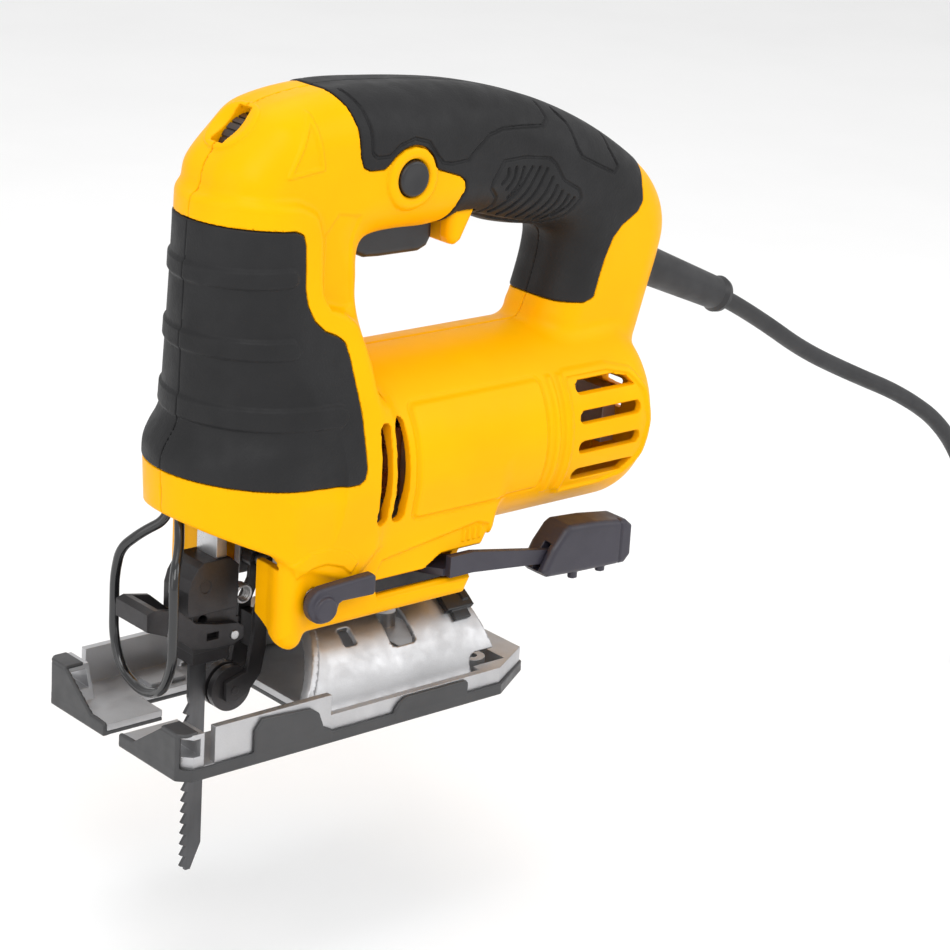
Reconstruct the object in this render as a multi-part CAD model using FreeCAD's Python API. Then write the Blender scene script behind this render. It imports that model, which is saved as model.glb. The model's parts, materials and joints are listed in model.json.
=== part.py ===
"""Corded top-handle jigsaw, built as separate pieces on their real joints.

Frame: +X to the rear, -Y the tool's left side, +Z up, origin on the sole under the middle of the
shoe's front edge. All sizes are in millimetres.
"""
import FreeCAD
import Part
import math
import os

V = FreeCAD.Vector
X_AXIS = V(1, 0, 0)
Y_AXIS = V(0, 1, 0)
Z_AXIS = V(0, 0, 1)

# ---------------------------------------------------------------- driving dimensions
WALL = 3.0                 # moulded housing wall
SKIN = 1.5                 # soft rubber layer set into the housing
SPLIT = 0.05               # half the gap between the two clamshells
PART_GAP = 0.3             # air between pieces that move past each other
RUN_FIT = 0.03             # radial clearance of a shaft in its bore

MOTOR_Z = 85.7             # height of the motor axis above the sole
BARREL_R = 34.4
BARREL_FRONT, BARREL_REAR = 66.0, 208.0
NOSE_BACK = 88.0
HANDLE_HALF = 19.5
SKIRT_FRONT, SKIRT_REAR, SKIRT_HALF, SKIRT_BOTTOM = 44.0, 133.0, 32.0, 36.8

SHOE_LENGTH, SHOE_HALF = 152.8, 40.0
PLATE_BOTTOM, PLATE_TOP, REAR_TOP = 1.6, 3.9, 9.3
WALL_TOP = 16.4            # upturned sides of the shoe
SADDLE_R = 33.8            # outside of the half-round bevel saddle, centred on the sole's centre line
SADDLE_T = 2.5
SWEEP_R = 44.4             # everything on the housing near the shoe stays outside this radius

CRANK_Z = 113.7            # crank gear axis
CRANK_THROW = 9.0          # half the 18 mm stroke
PIN_Z = CRANK_Z - CRANK_THROW   # crank pin at rest, with the blade at the bottom of its stroke
GEAR_MODULE, GEAR_TEETH, PINION_TEETH = 0.8, 60, 10
BAR_X0, BAR_X1, BAR_HALF = 35.9, 39.9, 5.5

BLADE_X0, BLADE_WIDTH, BLADE_T = 28.6, 8.0, 1.3
BLADE_TIP, TOOTH_PITCH, TOOTH_DEPTH = -55.0, 4.0, 2.0

CORD_D = 6.5

NOSE_SECTIONS = [(75.0, 17.2, 33.0), (97.0, 17.0, 33.0), (104.0, 22.4, 32.8), (112.0, 23.4, 31.2),
                 (128.0, 23.8, 28.2), (147.0, 24.2, 25.6), (177.0, 25.0, 24.4)]
UPPER_OUTLINE = [(29.0, 176.0), (29.5, 190.0), (36.0, 201.0), (50.0, 208.3), (80.0, 209.7), (112.0, 208.0),
                 (145.0, 202.5), (178.0, 191.4), (209.0, 173.5), (221.5, 159.0), (224.6, 146.0),
                 (219.5, 126.7), (212.0, 103.6), (196.0, 88.0), (150.0, 84.0), (100.0, 84.0),
                 (60.0, 110.0), (34.0, 150.0)]
FINGER_OPENING = [(86.0, 116.0), (81.5, 136.0), (81.0, 152.0), (90.0, 160.5), (112.0, 161.0), (132.0, 162.0),
                  (152.0, 160.0), (166.0, 157.0), (172.0, 150.0), (170.8, 139.0), (166.5, 127.0),
                  (158.0, 116.0), (130.0, 111.0), (105.0, 110.0)]
DIAL_X, DIAL_Z, DIAL_R, DIAL_HALF = 50.0, 189.0, 13.4, 2.9
BUTTON_X, BUTTON_Z, BUTTON_R = 97.0, 181.0, 6.0
KNOB_X, KNOB_Z = 55.5, 48.5
TRIGGER_HALF = 8.0
BOWL_CENTRE = (30.3, 0.0, 211.0)
BOWL_R = 16.0
LEVER_X, LEVER_Z0, LEVER_Z1 = 101.0, 45.2, 53.2
SLOT_X0, SLOT_X1 = 84.0, 131.5
EXIT = (221.4, 0.0, 132.6)            # centre of the cord's strain relief at the handle
EXIT_DIR = V(43.1, 0, -18.2).normalize()
FENCE_SLOT = (2.3, 8.1, 7.7, 13.7)     # x0, x1, z0, z1 of the edge-guide slot
VALLEY = (9.5, 13.7)                   # low strip across the shoe under the wire guard
WINDOW = (23.0, 64.0, 17.6)            # x0, x1 and half-width of the blade and roller window
BOSS_X, BOSS_Y, BOSS_R, BOSS_HOLE_R = 132.0, 24.6, 4.6, 1.9
SHOE_SCREWS = [(70.0, 24.5), (121.0, 24.5)]
CLAMP_X0, CLAMP_X1 = 94.0, 109.0
BEARING_R = 9.5
PIVOT_X, PIVOT_Z = 37.9, 146.0
ROLLER_PIVOT = (60.0, 50.0)
ROLLER_X, ROLLER_Z, ROLLER_R = 45.4, 9.2, 8.0
CLAMP_PIN = (41.6, 31.4)
SHANK_TOP = 52.0
SHAFT_R = 4.0
TRIGGER_PIVOT = (80.0, 166.5)
SCREW_PLACES = [(66.0, 201.0), (134.0, 196.0), (188.0, 170.5), (212.0, 150.0), (181.0, 123.0)]
GUARD_X, GUARD_HALF, GUARD_WIRE_R = 11.6, 16.7, 1.65
GUARD_PATH = [(22.9, -3.2, 82.0), (22.3, -3.4, 75.0), (18.4, -9.4, 66.5), (12.3, -15.6, 60.0),
              (GUARD_X, -GUARD_HALF, 50.0), (GUARD_X, -GUARD_HALF, 29.0), (GUARD_X, -11.6, 18.5),
              (GUARD_X, 0.0, 14.6), (GUARD_X, 11.6, 18.5), (GUARD_X, GUARD_HALF, 29.0),
              (GUARD_X, GUARD_HALF, 50.0), (12.0, 14.4, 60.0), (15.2, 7.4, 67.0), (21.4, 2.2, 72.0),
              (22.9, 2.0, 82.0)]
RELIEF_LENGTH = 46.8
# Hand-chosen route of the cord: out of the sleeve, a falling curve, then over the floor to the coil.
FLOOR_Z = -78.0
COIL_CENTRE = (507.0, -30.0)
COIL_MID_R = 38.0
COIL_COLUMNS, COIL_LAYERS = 4, 2
TAIL_OFFSET = 25.0
COIL_OUTER_R = COIL_MID_R + CORD_D * COIL_COLUMNS / 2.0
COIL_INNER_R = COIL_MID_R - CORD_D * COIL_COLUMNS / 2.0
LOW = FLOOR_Z + CORD_D / 2.0 + 0.05
ENTRY_Y = COIL_CENTRE[1] + COIL_OUTER_R - CORD_D / 2.0
CORD_ROUTE = [(209.0, 0.0, 137.9), (236.0, 0.0, 126.3), (263.5, 0.0, 115.0), (288.0, -0.4, 101.4),
              (312.0, -1.2, 86.2), (340.0, -2.4, 73.0), (369.0, -4.0, 60.4), (395.0, -5.2, 44.0),
              (412.5, -6.6, 20.0), (423.5, -6.0, -8.0), (429.5, -4.4, -34.0), (438.0, -0.8, -55.0),
              (451.5, 4.6, -68.4), (468.5, 10.8, -74.0), (487.5, ENTRY_Y - 1.8, LOW),
              (COIL_CENTRE[0], ENTRY_Y, LOW)]
PLUG_LENGTH, PLUG_R, PLUG_NECK = 41.0, 18.5, 14.0
PLUG_THICK = 16.0
PLUG_BASE = FLOOR_Z + CORD_D * COIL_LAYERS + 0.05     # the plug lies on the coil
PIN_LENGTH, PIN_SPREAD, PIN_R = 19.0, 9.5, 2.4


# ---------------------------------------------------------------- helpers
def box(x0, x1, y0, y1, z0, z1):
    """Block between two opposite corners."""
    return Part.makeBox(x1 - x0, y1 - y0, z1 - z0, V(x0, y0, z0))


def rod(centre, axis, radius, length):
    """Cylinder that starts at centre and runs along axis."""
    return Part.makeCylinder(radius, length, V(*centre), axis)


def ring(centre, axis, outer, inner, length):
    """Tube with a round bore."""
    return rod(centre, axis, outer, length).cut(rod(centre, axis, inner, length))


def prism_y(points, y0, y1):
    """Polygon in the XZ plane, extruded across the tool."""
    wire = Part.makePolygon([V(x, y0, z) for x, z in points + points[:1]])
    return Part.Face(wire).extrude(V(0, y1 - y0, 0))


def prism_x(points, x0, x1):
    """Polygon in the YZ plane, extruded along the tool."""
    wire = Part.makePolygon([V(x0, y, z) for y, z in points + points[:1]])
    return Part.Face(wire).extrude(V(x1 - x0, 0, 0))


def prism_z(points, z0, z1):
    """Polygon in the XY plane, extruded upwards."""
    wire = Part.makePolygon([V(x, y, z0) for x, y in points + points[:1]])
    return Part.Face(wire).extrude(V(0, 0, z1 - z0))


def spline_face(points, inset=0.0):
    """Face in the XZ plane inside one smooth closed curve, moved inwards by inset."""
    curve = Part.BSplineCurve()
    curve.interpolate([V(x, 0, z) for x, z in points], PeriodicFlag=True)
    if inset:
        area = sum(x0 * z1 - x1 * z0 for (x0, z0), (x1, z1) in zip(points, points[1:] + points[:1]))
        side = inset if area > 0 else -inset
        moved = []
        for x, z in points:
            tangent = curve.tangent(curve.parameter(V(x, 0, z)))[0]
            moved.append(V(x - side * tangent.z, 0, z + side * tangent.x))
        curve = Part.BSplineCurve()
        curve.interpolate(moved, PeriodicFlag=True)
    return Part.Face(Part.Wire([curve.toShape()]))


def fuse(shapes):
    """One shape out of many."""
    first, rest = shapes[0], shapes[1:]
    return first.multiFuse(rest).removeSplitter() if rest else first


def mirror_y(shape):
    """The same shape on the other side of the tool."""
    return shape.mirror(V(0, 0, 0), Y_AXIS)


def both_sides(shape):
    """A shape and its mirror image, as one compound cutter or group."""
    return Part.makeCompound([shape, mirror_y(shape)])


def arc_band(r_outer, r_inner, half_angle, x0, x1):
    """Arched band about the X axis through the origin, open downwards."""
    steps = max(2, int(half_angle / 22.0) + 1)
    reach = 2.0 * r_outer
    angles = [math.radians(-half_angle + 2.0 * half_angle * i / steps) for i in range(steps + 1)]
    fan = [(0.0, 0.0)] + [(reach * math.sin(a), reach * math.cos(a)) for a in angles]
    tube = ring((x0, 0, 0), X_AXIS, r_outer, r_inner, x1 - x0)
    return tube.common(prism_x(fan, x0, x1))


def run_path(points, factor=0.45, report=None):
    """Straight runs joined by tangent arcs: each arc takes factor of the shorter run beside it."""
    pts = [V(*p) for p in points]
    edges = []
    start = pts[0]
    for i in range(1, len(pts) - 1):
        before = pts[i].sub(pts[i - 1])
        after = pts[i + 1].sub(pts[i])
        turn = before.getAngle(after)
        trim = factor * min(before.Length, after.Length)
        u_in = V(before).normalize()
        u_out = V(after).normalize()
        entry = pts[i].sub(u_in * trim)
        leave = pts[i].add(u_out * trim)
        radius = trim / math.tan(turn / 2.0)
        bisector = u_out.sub(u_in).normalize()
        centre = pts[i].add(bisector * (radius / math.cos(turn / 2.0)))
        middle = centre.sub(bisector * radius)
        if start.sub(entry).Length > 1e-4:
            edges.append(Part.LineSegment(start, entry).toShape())
        edges.append(Part.Arc(entry, middle, leave).toShape())
        start = leave
        if report is not None:
            report.append((radius, math.degrees(turn)))
    edges.append(Part.LineSegment(start, pts[-1]).toShape())
    return Part.Wire(edges)


def sweep_round(wire, radius):
    """Round section swept along a wire of lines and arcs."""
    first = wire.Edges[0]
    start = first.valueAt(first.FirstParameter)
    tangent = first.tangentAt(first.FirstParameter)
    profile = Part.Wire([Part.makeCircle(radius, start, tangent)])
    return wire.makePipeShell([profile], True, True)


def gear_teeth(centre, teeth, face_x0, face_x1, bore, first_gap, addendum, backlash):
    """Spur gear about X. A tooth gap, or a tooth where first_gap is 0.5, points along +Z first."""
    pitch_r = GEAR_MODULE * teeth / 2.0
    root_r = pitch_r - 1.25 * GEAR_MODULE
    tip_r = pitch_r + addendum * GEAR_MODULE
    base_r = pitch_r * math.cos(math.radians(20.0))
    half_pitch = math.pi / (2.0 * teeth) - backlash / (2.0 * pitch_r)
    involute_pitch = math.sqrt((pitch_r / base_r) ** 2 - 1.0)
    lead = involute_pitch - math.atan(involute_pitch)
    outline = []
    for tooth in range(teeth):
        mid = 2.0 * math.pi * (tooth + first_gap) / teeth
        flank = []
        for step in range(4):
            r = max(base_r, root_r) + (tip_r - max(base_r, root_r)) * step / 3.0
            t = math.sqrt(max((r / base_r) ** 2 - 1.0, 0.0))
            flank.append((r, half_pitch + lead - (t - math.atan(t))))
        if root_r < base_r:
            flank.insert(0, (root_r, flank[0][1]))
        for r, a in flank:
            outline.append((r * math.sin(mid - a), r * math.cos(mid - a)))
        for r, a in reversed(flank):
            outline.append((r * math.sin(mid + a), r * math.cos(mid + a)))
    disc = prism_x([(centre[1] + y, centre[2] + z) for y, z in outline], face_x0, face_x1)
    return disc.cut(rod((face_x0, centre[1], centre[2]), X_AXIS, bore, face_x1 - face_x0))


# ---------------------------------------------------------------- housing envelope


def nose(inset):
    """Front block: rounded in plan, wider towards the foot, with a lip round its bottom edge."""
    rings = []
    sections = [(z, front + inset, half - inset) for z, front, half in NOSE_SECTIONS]
    if inset:
        sections[0] = (sections[0][0] - 1.0,) + sections[0][1:]
        sections[-1] = (sections[-1][0] - inset,) + sections[-1][1:]
    for z, front, half in sections:
        knee = front + half
        arc = Part.Arc(V(knee, half, z), V(front, 0, z), V(knee, -half, z)).toShape()
        back = NOSE_BACK - inset
        sides = [V(knee, -half, z), V(back, -half, z), V(back, half, z), V(knee, half, z)]
        lines = [Part.LineSegment(a, b).toShape() for a, b in zip(sides, sides[1:])]
        rings.append(Part.Wire([arc] + lines))
    return Part.makeLoft(rings, True, True)


def barrel(inset):
    """Motor housing: a drum along X with a rounded rear end."""
    rear = BARREL_REAR - inset
    drum = rod((BARREL_FRONT, 0, MOTOR_Z), X_AXIS, BARREL_R - inset, rear - BARREL_FRONT)
    edge = [e for e in drum.Edges if abs(e.BoundBox.XMin - rear) < 0.01 and e.BoundBox.XLength < 0.01]
    return drum.makeFillet(15.0 - inset, edge)


def handle(inset):
    """Head, bow of the handle and rear column, one rounded loop round the finger opening."""
    face = spline_face(UPPER_OUTLINE, inset).cut(spline_face(FINGER_OPENING, -inset)).Faces[0].copy()
    half = HANDLE_HALF - inset
    face.translate(V(0, -half, 0))
    solid = face.extrude(V(0, 2.0 * half, 0))
    edges = [e for e in solid.Edges if abs(e.BoundBox.YLength) < 1e-6]
    return solid.makeFillet(10.0 - 0.8 * inset, edges)


def skirt(inset):
    """Lower housing that carries the bevel seat, open below."""
    low = SKIRT_BOTTOM if not inset else 20.0
    half = SKIRT_HALF - inset
    front = SKIRT_FRONT + inset
    rear = SKIRT_REAR - inset
    top = MOTOR_Z
    points = [(front, low), (rear - 8.0, low), (rear, 58.0), (rear, top), (front, top)]
    return prism_y(points, -half, half)


def front_lobe():
    """Rounded foot at the front corner of the skirt."""
    lobe = prism_y([(41.5, 34.0), (44.0, 31.6), (52.0, 31.6), (54.0, 37.0), (54.0, 64.0), (44.0, 64.0),
                    (41.5, 60.0)], -SKIRT_HALF - 0.5, -29.4)
    return both_sides(lobe)


def trigger_lip():
    """Short wall behind the trigger."""
    return prism_y([(119.8, 166.0), (119.8, 155.6), (122.4, 153.8), (125.0, 155.0), (131.0, 166.0)],
                   -HANDLE_HALF + 9.0, HANDLE_HALF - 9.0)


def vents():
    """Cooling slots through both sides of the motor housing."""
    cuts = []
    for x in (79.5, 87.5):
        cuts.append(box(x, x + 4.0, -40, -10, 70, 104))
    for row in range(4):
        z = 69.5 + 10.6 * row
        cuts.append(box(167.0, 192.0, -40, -10, z, z + 3.4))
    for row in range(3):
        z = 76.0 + 8.0 * row
        cuts.append(box(200.0, 212.0, -13.0, -3.0, z, z + 3.0))
    return both_sides(Part.makeCompound(cuts))


def plan_openings():
    """Everything cut through the finished shell: dial, button, trigger, knob, lever, cord, plunger."""
    out = Part.makeSphere(BOWL_R, V(*BOWL_CENTRE))
    dial = box(30, 50, -DIAL_HALF - 0.4, DIAL_HALF + 0.4, 189.0, 204.0)
    button = rod((BUTTON_X, -30, BUTTON_Z), Y_AXIS, BUTTON_R + PART_GAP, 30)
    trigger = box(83.0, 119.5, -TRIGGER_HALF - PART_GAP, TRIGGER_HALF + PART_GAP, 145.0, 168.0)
    knob = rod((KNOB_X, -40, KNOB_Z), Y_AXIS, 4.0 + RUN_FIT, 15)
    lever = box(SLOT_X0, SLOT_X1, -40.0, -20.0, LEVER_Z0 - 1.2, LEVER_Z1 + 1.2)
    cord = rod(V(*EXIT).sub(EXIT_DIR * 15.0), EXIT_DIR, 7.15, 40)
    mouth = box(40.0, 54.0, -16.0, 16.0, 20.0, 72.0)
    return [out, dial, button, trigger, knob, lever, cord, mouth]


def outer_shell():
    """The closed outside of the tool's body."""
    return fuse([nose(0), barrel(0), handle(0), skirt(0)])


def grip_regions():
    """Volumes in which the outer skin is soft rubber: the nose, and the handle with its column."""
    nose_zone = prism_y([(10, 172.0), (50.5, 172.0), (53.5, 168.0), (54.5, 146.0), (60.0, 137.5),
                         (68.0, 132.0), (72.5, 108.0), (74.0, 89.0), (71.0, 86.0), (43.0, 86.2),
                         (30.0, 88.5), (10, 90.0)], -40, 40)
    bow = [(62.0, 214.0), (72.0, 206.0), (77.0, 188.0), (90.0, 186.5), (94.0, 191.5), (102.0, 191.5),
           (107.0, 183.0), (119.0, 179.5), (121.5, 175.0), (117.5, 162.0), (120.0, 150.0), (128.0, 145.0),
           (140.0, 134.0), (151.0, 133.0), (175.0, 127.5), (184.0, 128.5), (186.5, 133.0),
           (192.0, 150.0), (196.0, 154.0), (204.0, 159.0), (206.0, 165.0), (212.0, 185.0), (150.0, 214.0)]
    return nose_zone, prism_y(bow, -40, 40)


def halves(shape):
    """Left and right halves of a shape, parted at the mid-plane."""
    left = shape.common(box(-50, 300, -60, -SPLIT, -20, 260))
    right = shape.common(box(-50, 300, SPLIT, 60, -20, 260))
    return left, right


def only_big(shape, least=40.0):
    """Drop slivers that booleans leave behind."""
    solids = [s for s in shape.Solids if s.Volume > least]
    return solids[0] if len(solids) == 1 else Part.makeCompound(solids)


def housing_parts():
    """Clamshell halves and the rubber skins set into them."""
    outer = outer_shell()
    shell = outer
    for block in (nose, skirt, barrel, handle):
        shell = shell.cut(block(WALL))
    nose_zone, bow_zone = grip_regions()
    nose_skin = nose(0).cut(nose(SKIN)).common(nose_zone).cut(handle(0)).cut(barrel(0))
    bow_skin = handle(0).cut(handle(SKIN)).common(bow_zone).cut(barrel(0)).cut(nose(0))
    lip = trigger_lip()
    bow_skin = bow_skin.cut(lip)
    bowl_pad = Part.makeSphere(BOWL_R + WALL, V(*BOWL_CENTRE)).common(outer)
    shell = shell.fuse(bowl_pad)
    shell = shell.fuse(front_lobe().common(box(40, 56, -40, 40, 30, 66)))
    shell = shell.fuse(lip)
    sweep = rod((38.0, 0, 0), X_AXIS, SWEEP_R, 100.0)
    cutters = plan_openings() + [vents(), sweep]
    shell = shell.cut(Part.makeCompound([nose_skin, bow_skin]))
    for cutter in cutters:
        shell = shell.cut(cutter)
        bow_skin = bow_skin.cut(cutter)
        nose_skin = nose_skin.cut(cutter)
    names = ("left", "right")
    made = {}
    for name, half in zip(names, halves(shell)):
        made["housing_" + name] = only_big(half)
    for name, half in zip(names, halves(nose_skin)):
        made["nose_grip_" + name] = only_big(half)
    for name, half in zip(names, halves(bow_skin)):
        made["handle_grip_" + name] = only_big(half)
    return made


# ---------------------------------------------------------------- shoe


def shoe_outline(inset):
    """Plan of the shoe with chamfered rear corners."""
    half = SHOE_HALF - inset
    rear = SHOE_LENGTH - inset
    return [(inset, -half + 4.0), (inset + 4.0, -half), (133.0, -half), (rear, -28.0), (rear, 28.0),
            (133.0, half), (inset + 4.0, half), (inset, half - 4.0)]


def blade_window():
    """Narrow slot in front of the blade and the wide window behind it."""
    slot = box(-1, WINDOW[0] + 1, -4.3, 4.3, -1, 30)
    wide = box(WINDOW[0], WINDOW[1], -WINDOW[2], WINDOW[2], -1, 30)
    return Part.makeCompound([slot, wide])


def shoe_plate():
    """Die-cast aluminium plate with upturned sides and the edge-guide slots."""
    inset = 1.5
    half = SHOE_HALF - inset
    base = prism_z(shoe_outline(inset), PLATE_BOTTOM, PLATE_TOP)
    walls = box(VALLEY[1], 60.0, -half, -half + 2.6, PLATE_TOP, WALL_TOP)
    low_walls = box(60.0, 133.0, -half, -half + 2.6, PLATE_TOP, REAR_TOP)
    front = prism_x([(-half, PLATE_TOP), (-half, 15.4), (-28.0, 15.4), (-24.0, PLATE_TOP)], inset, VALLEY[0])
    front = front.common(prism_z(shoe_outline(inset), PLATE_TOP, 20.0))
    rear = prism_z([(126.0, -half), (133.0, -half), (SHOE_LENGTH - inset, -28.0),
                    (SHOE_LENGTH - inset, 0.0), (126.0, 0.0)], PLATE_TOP, REAR_TOP)
    bar = box(64.0, 68.0, -half + 2.6, 0.0, PLATE_TOP, 6.4)
    tray = box(30.0, 128.0, -28.4, -21.0, PLATE_TOP, 5.4)
    plate = fuse([base] + [p for s in (walls, low_walls, front, rear, bar, tray) for p in (s, mirror_y(s))])
    slot = box(FENCE_SLOT[0], FENCE_SLOT[1], -60, 60, FENCE_SLOT[2], FENCE_SLOT[3])
    holes = [rod((BOSS_X, y, 0), Z_AXIS, BOSS_HOLE_R, 30) for y in (-BOSS_Y, BOSS_Y)]
    pocket = box(66.0, 124.0, -33.0, 33.0, PLATE_BOTTOM + 1.2, 20.0)
    saddle_space = rod((40, 0, 0), X_AXIS, SADDLE_R, 100).common(box(44, 142, -40, 40, PLATE_TOP, 40))
    plate = plate.cut(saddle_space)
    bosses = [rod((BOSS_X, y, PLATE_BOTTOM), Z_AXIS, BOSS_R, REAR_TOP - PLATE_BOTTOM) for y in (-BOSS_Y, BOSS_Y)]
    plate = fuse([plate] + bosses)
    for cutter in [blade_window(), slot, pocket] + holes + shoe_screw_holes():
        plate = plate.cut(cutter)
    return plate


def shoe_screw_holes():
    """Bores for the four screws that hold the saddle to the plate."""
    return [rod((x, side * y, 0), Z_AXIS, 1.6, 30) for x, y in SHOE_SCREWS for side in (-1, 1)]


def shoe_saddle():
    """Half-round bracket on the plate; the housing seat rides on it when the shoe is bevelled."""
    band = arc_band(SADDLE_R, SADDLE_R - SADDLE_T, 82.5, 49.0, 139.0)
    slant = prism_y([(40.0, 0.0), (48.5, 4.0), (69.5, 36.0), (40.0, 36.0)], -50, 50)
    back = prism_y([(150.0, 0.0), (139.5, 4.0), (136.5, 14.0), (131.0, 36.0), (150.0, 36.0)], -50, 50)
    foot = box(66.2, 123.8, -SADDLE_R + 1.0, -20.0, PLATE_BOTTOM + 1.2, PLATE_TOP + 1.2)
    saddle = fuse([band.common(box(40, 150, -50, 50, PLATE_TOP + 0.4, 50)), foot, mirror_y(foot)])
    rear_slot = arc_band(SADDLE_R + 1, SADDLE_R - SADDLE_T - 1, 51.8, CLAMP_X0, CLAMP_X1)
    front_slot = arc_band(SADDLE_R + 1, SADDLE_R - SADDLE_T - 1, 47.0, 77.0, 84.0)
    bridge = arc_band(SADDLE_R + 2, SADDLE_R - SADDLE_T - 2, 32.0, 76.0, 85.0)
    tube_space = rod((40, 0, 0), X_AXIS, SADDLE_R - SADDLE_T, 110)
    for cutter in [slant, back, rear_slot, front_slot.cut(bridge), tube_space] + shoe_screw_holes():
        saddle = saddle.cut(cutter)
    return only_big(saddle)


def shoe_screws():
    """Four countersunk screws through plate and saddle foot."""
    made = []
    for x, y in SHOE_SCREWS:
        for side in (-1, 1):
            shaft = rod((x, side * y, PLATE_BOTTOM + 1.3), Z_AXIS, 1.6, 3.9)
            head = rod((x, side * y, PLATE_TOP + 1.2), Z_AXIS, 2.8, 1.6)
            socket = rod((x, side * y, PLATE_TOP + 1.9), Z_AXIS, 1.2, 2.0)
            made.append(shaft.fuse(head).cut(socket))
    return Part.makeCompound(made)


def shoe_cover():
    """Snap-on plastic sole with side clips and a raised toe."""
    base = prism_z(shoe_outline(0.0), 0.0, PLATE_BOTTOM)
    rim_out = prism_z(shoe_outline(0.0), 0.0, 4.4)
    rim_in = prism_z(shoe_outline(1.5), 0.0, 4.5)
    rim = rim_out.cut(rim_in)
    toe = prism_x([(-SHOE_HALF, 0.0), (-SHOE_HALF, 12.5), (-36.0, 14.6), (-27.0, 14.6), (-12.0, 4.4),
                   (-4.3, 4.4), (-4.3, 0.0)], 0.0, 1.5)
    toe = toe.common(prism_z(shoe_outline(0.0), 0.0, WALL_TOP))
    side_y = (-SHOE_HALF, -SHOE_HALF + 1.5)
    clip_a = prism_y([(27.5, 0), (27.5, 15.4), (52.5, 14.2), (59.0, 6.0), (59.0, 0)], *side_y)
    strip = prism_y([(59.0, 0), (59.0, 6.0), (86.0, 6.0), (86.0, 0)], *side_y)
    clip_b = prism_y([(86.0, 0), (86.0, 6.0), (89.0, 8.6), (118.0, 8.6), (118.0, 0)], *side_y)
    pieces = [toe, clip_a, strip, clip_b]
    cover = fuse([base, rim] + [p for s in pieces for p in (s, mirror_y(s))])
    holes = [rod((BOSS_X, side * BOSS_Y, -1), Z_AXIS, 3.0, 5.0) for side in (-1, 1)]
    fence = box(FENCE_SLOT[0], FENCE_SLOT[1], -60, 60, FENCE_SLOT[2], FENCE_SLOT[3])
    for cutter in [blade_window(), fence] + holes:
        cover = cover.cut(cutter)
    return cover


def bevel_clip():
    """Black click-stop clip behind the saddle, seated on the shoe plate."""
    return arc_band(SADDLE_R - SADDLE_T - 0.05, SADDLE_R - SADDLE_T - 3.0, 40.0, 126.0, 133.4)


# ---------------------------------------------------------------- bevel clamp (fixed nut, lever on its screw)
def bevel_seat():
    """Metal seat that bears on the saddle and ties the housing to the clamp screw."""
    block = box(70.0, 130.0, -12.5, 12.5, 34.0, 42.0).cut(rod((60, 0, 0), X_AXIS, SADDLE_R + 0.2, 80))
    return block.cut(rod((LEVER_X, 0, 20), Z_AXIS, 3.0 + RUN_FIT, 40))


def bevel_nut():
    """Curved nut plate inside the saddle."""
    plate = arc_band(SADDLE_R - SADDLE_T - 0.3, SADDLE_R - SADDLE_T - 4.5, 14.0, 94.5, 107.5)
    return plate.cut(rod((LEVER_X, 0, 20), Z_AXIS, 3.0 + RUN_FIT, 40))


def bevel_screw():
    """Clamp screw with its collar under the lever."""
    return rod((LEVER_X, 0, 24.0), Z_AXIS, 3.0, 31.5).fuse(rod((LEVER_X, 0, 42.1), Z_AXIS, 6.0, 2.9))


def bevel_lever():
    """Pressed steel strip: an eye on the screw, out through the side slot, then back along the skirt."""
    z0, z1 = 45.0, 47.6
    eye = rod((LEVER_X, 0, z0), Z_AXIS, 9.0, z1 - z0)
    arm = prism_z([(95.0, -6.0), (107.5, -5.0), (127.5, -28.0), (127.5, -31.0), (111.0, -31.0)], z0, z1)
    blade = prism_y([(112.0, z0), (122.0, 45.0), (164.0, 40.6), (166.0, 44.6), (122.0, 52.4),
                     (112.0, 52.4)], -33.6, -31.0)
    lever = fuse([eye, arm, blade])
    return lever.cut(rod((LEVER_X, 0, z0 - 1), Z_AXIS, 3.0, 10))


def lever_grip():
    """Moulded paddle on the end of the bevel lever, with two small feet."""
    paddle = prism_y([(154.0, 37.2), (151.5, 39.5), (156.0, 47.5), (161.5, 53.5), (164.0, 54.6),
                      (191.0, 51.6), (193.4, 49.6), (193.4, 38.4), (190.5, 35.4)], -37.0, -24.0)
    edges = [e for e in paddle.Edges if abs(e.BoundBox.YLength) < 1e-6]
    paddle = paddle.makeFillet(1.6, edges)
    feet = [rod((x, -34.0, 35.0), Z_AXIS, 1.8, 1.9) for x in (168.0, 181.0)]
    return paddle.fuse(feet[0]).fuse(feet[1]).cut(bevel_lever())


# ---------------------------------------------------------------- drive train
def gearbox_case():
    """Die-cast plate behind the gear, with two arms that carry the blade guide's pivot."""
    plate = prism_x([(-27.0, 64.0), (27.0, 64.0), (28.5, 80.0), (28.5, 110.0), (24.0, 128.0),
                     (17.5, 150.0), (-17.5, 150.0), (-24.0, 128.0), (-28.5, 110.0), (-28.5, 80.0)],
                    65.0, 69.0)
    arm = box(34.2, 65.0, 11.3, 14.2, 141.5, 150.0)
    legs = box(56.0, 65.0, 9.0, 12.0, 44.0, 64.0).fuse(box(64.0, 69.0, 9.0, 12.0, 44.0, 66.0))
    base = box(64.0, 69.0, -12.0, 12.0, 42.05, 46.0)
    case = fuse([plate, arm, mirror_y(arm), legs, mirror_y(legs), base])
    cuts = [rod((60, 0, MOTOR_Z), X_AXIS, BEARING_R, 20), rod((60, 0, CRANK_Z), X_AXIS, 4.0, 20),
            rod((PIVOT_X, -20, PIVOT_Z), Y_AXIS, 2.5 + RUN_FIT, 40),
            rod((ROLLER_PIVOT[0], -20, ROLLER_PIVOT[1]), Y_AXIS, 2.0, 40)]
    for cutter in cuts:
        case = case.cut(cutter)
    return case


def bearings():
    """Ball bearings at both ends of the motor shaft."""
    front = ring((65.0, 0, MOTOR_Z), X_AXIS, BEARING_R, 4.0 + RUN_FIT, 4.0)
    rear = ring((190.0, 0, MOTOR_Z), X_AXIS, 8.0, 3.5 + RUN_FIT, 6.0)
    return Part.makeCompound([front, rear])


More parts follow.
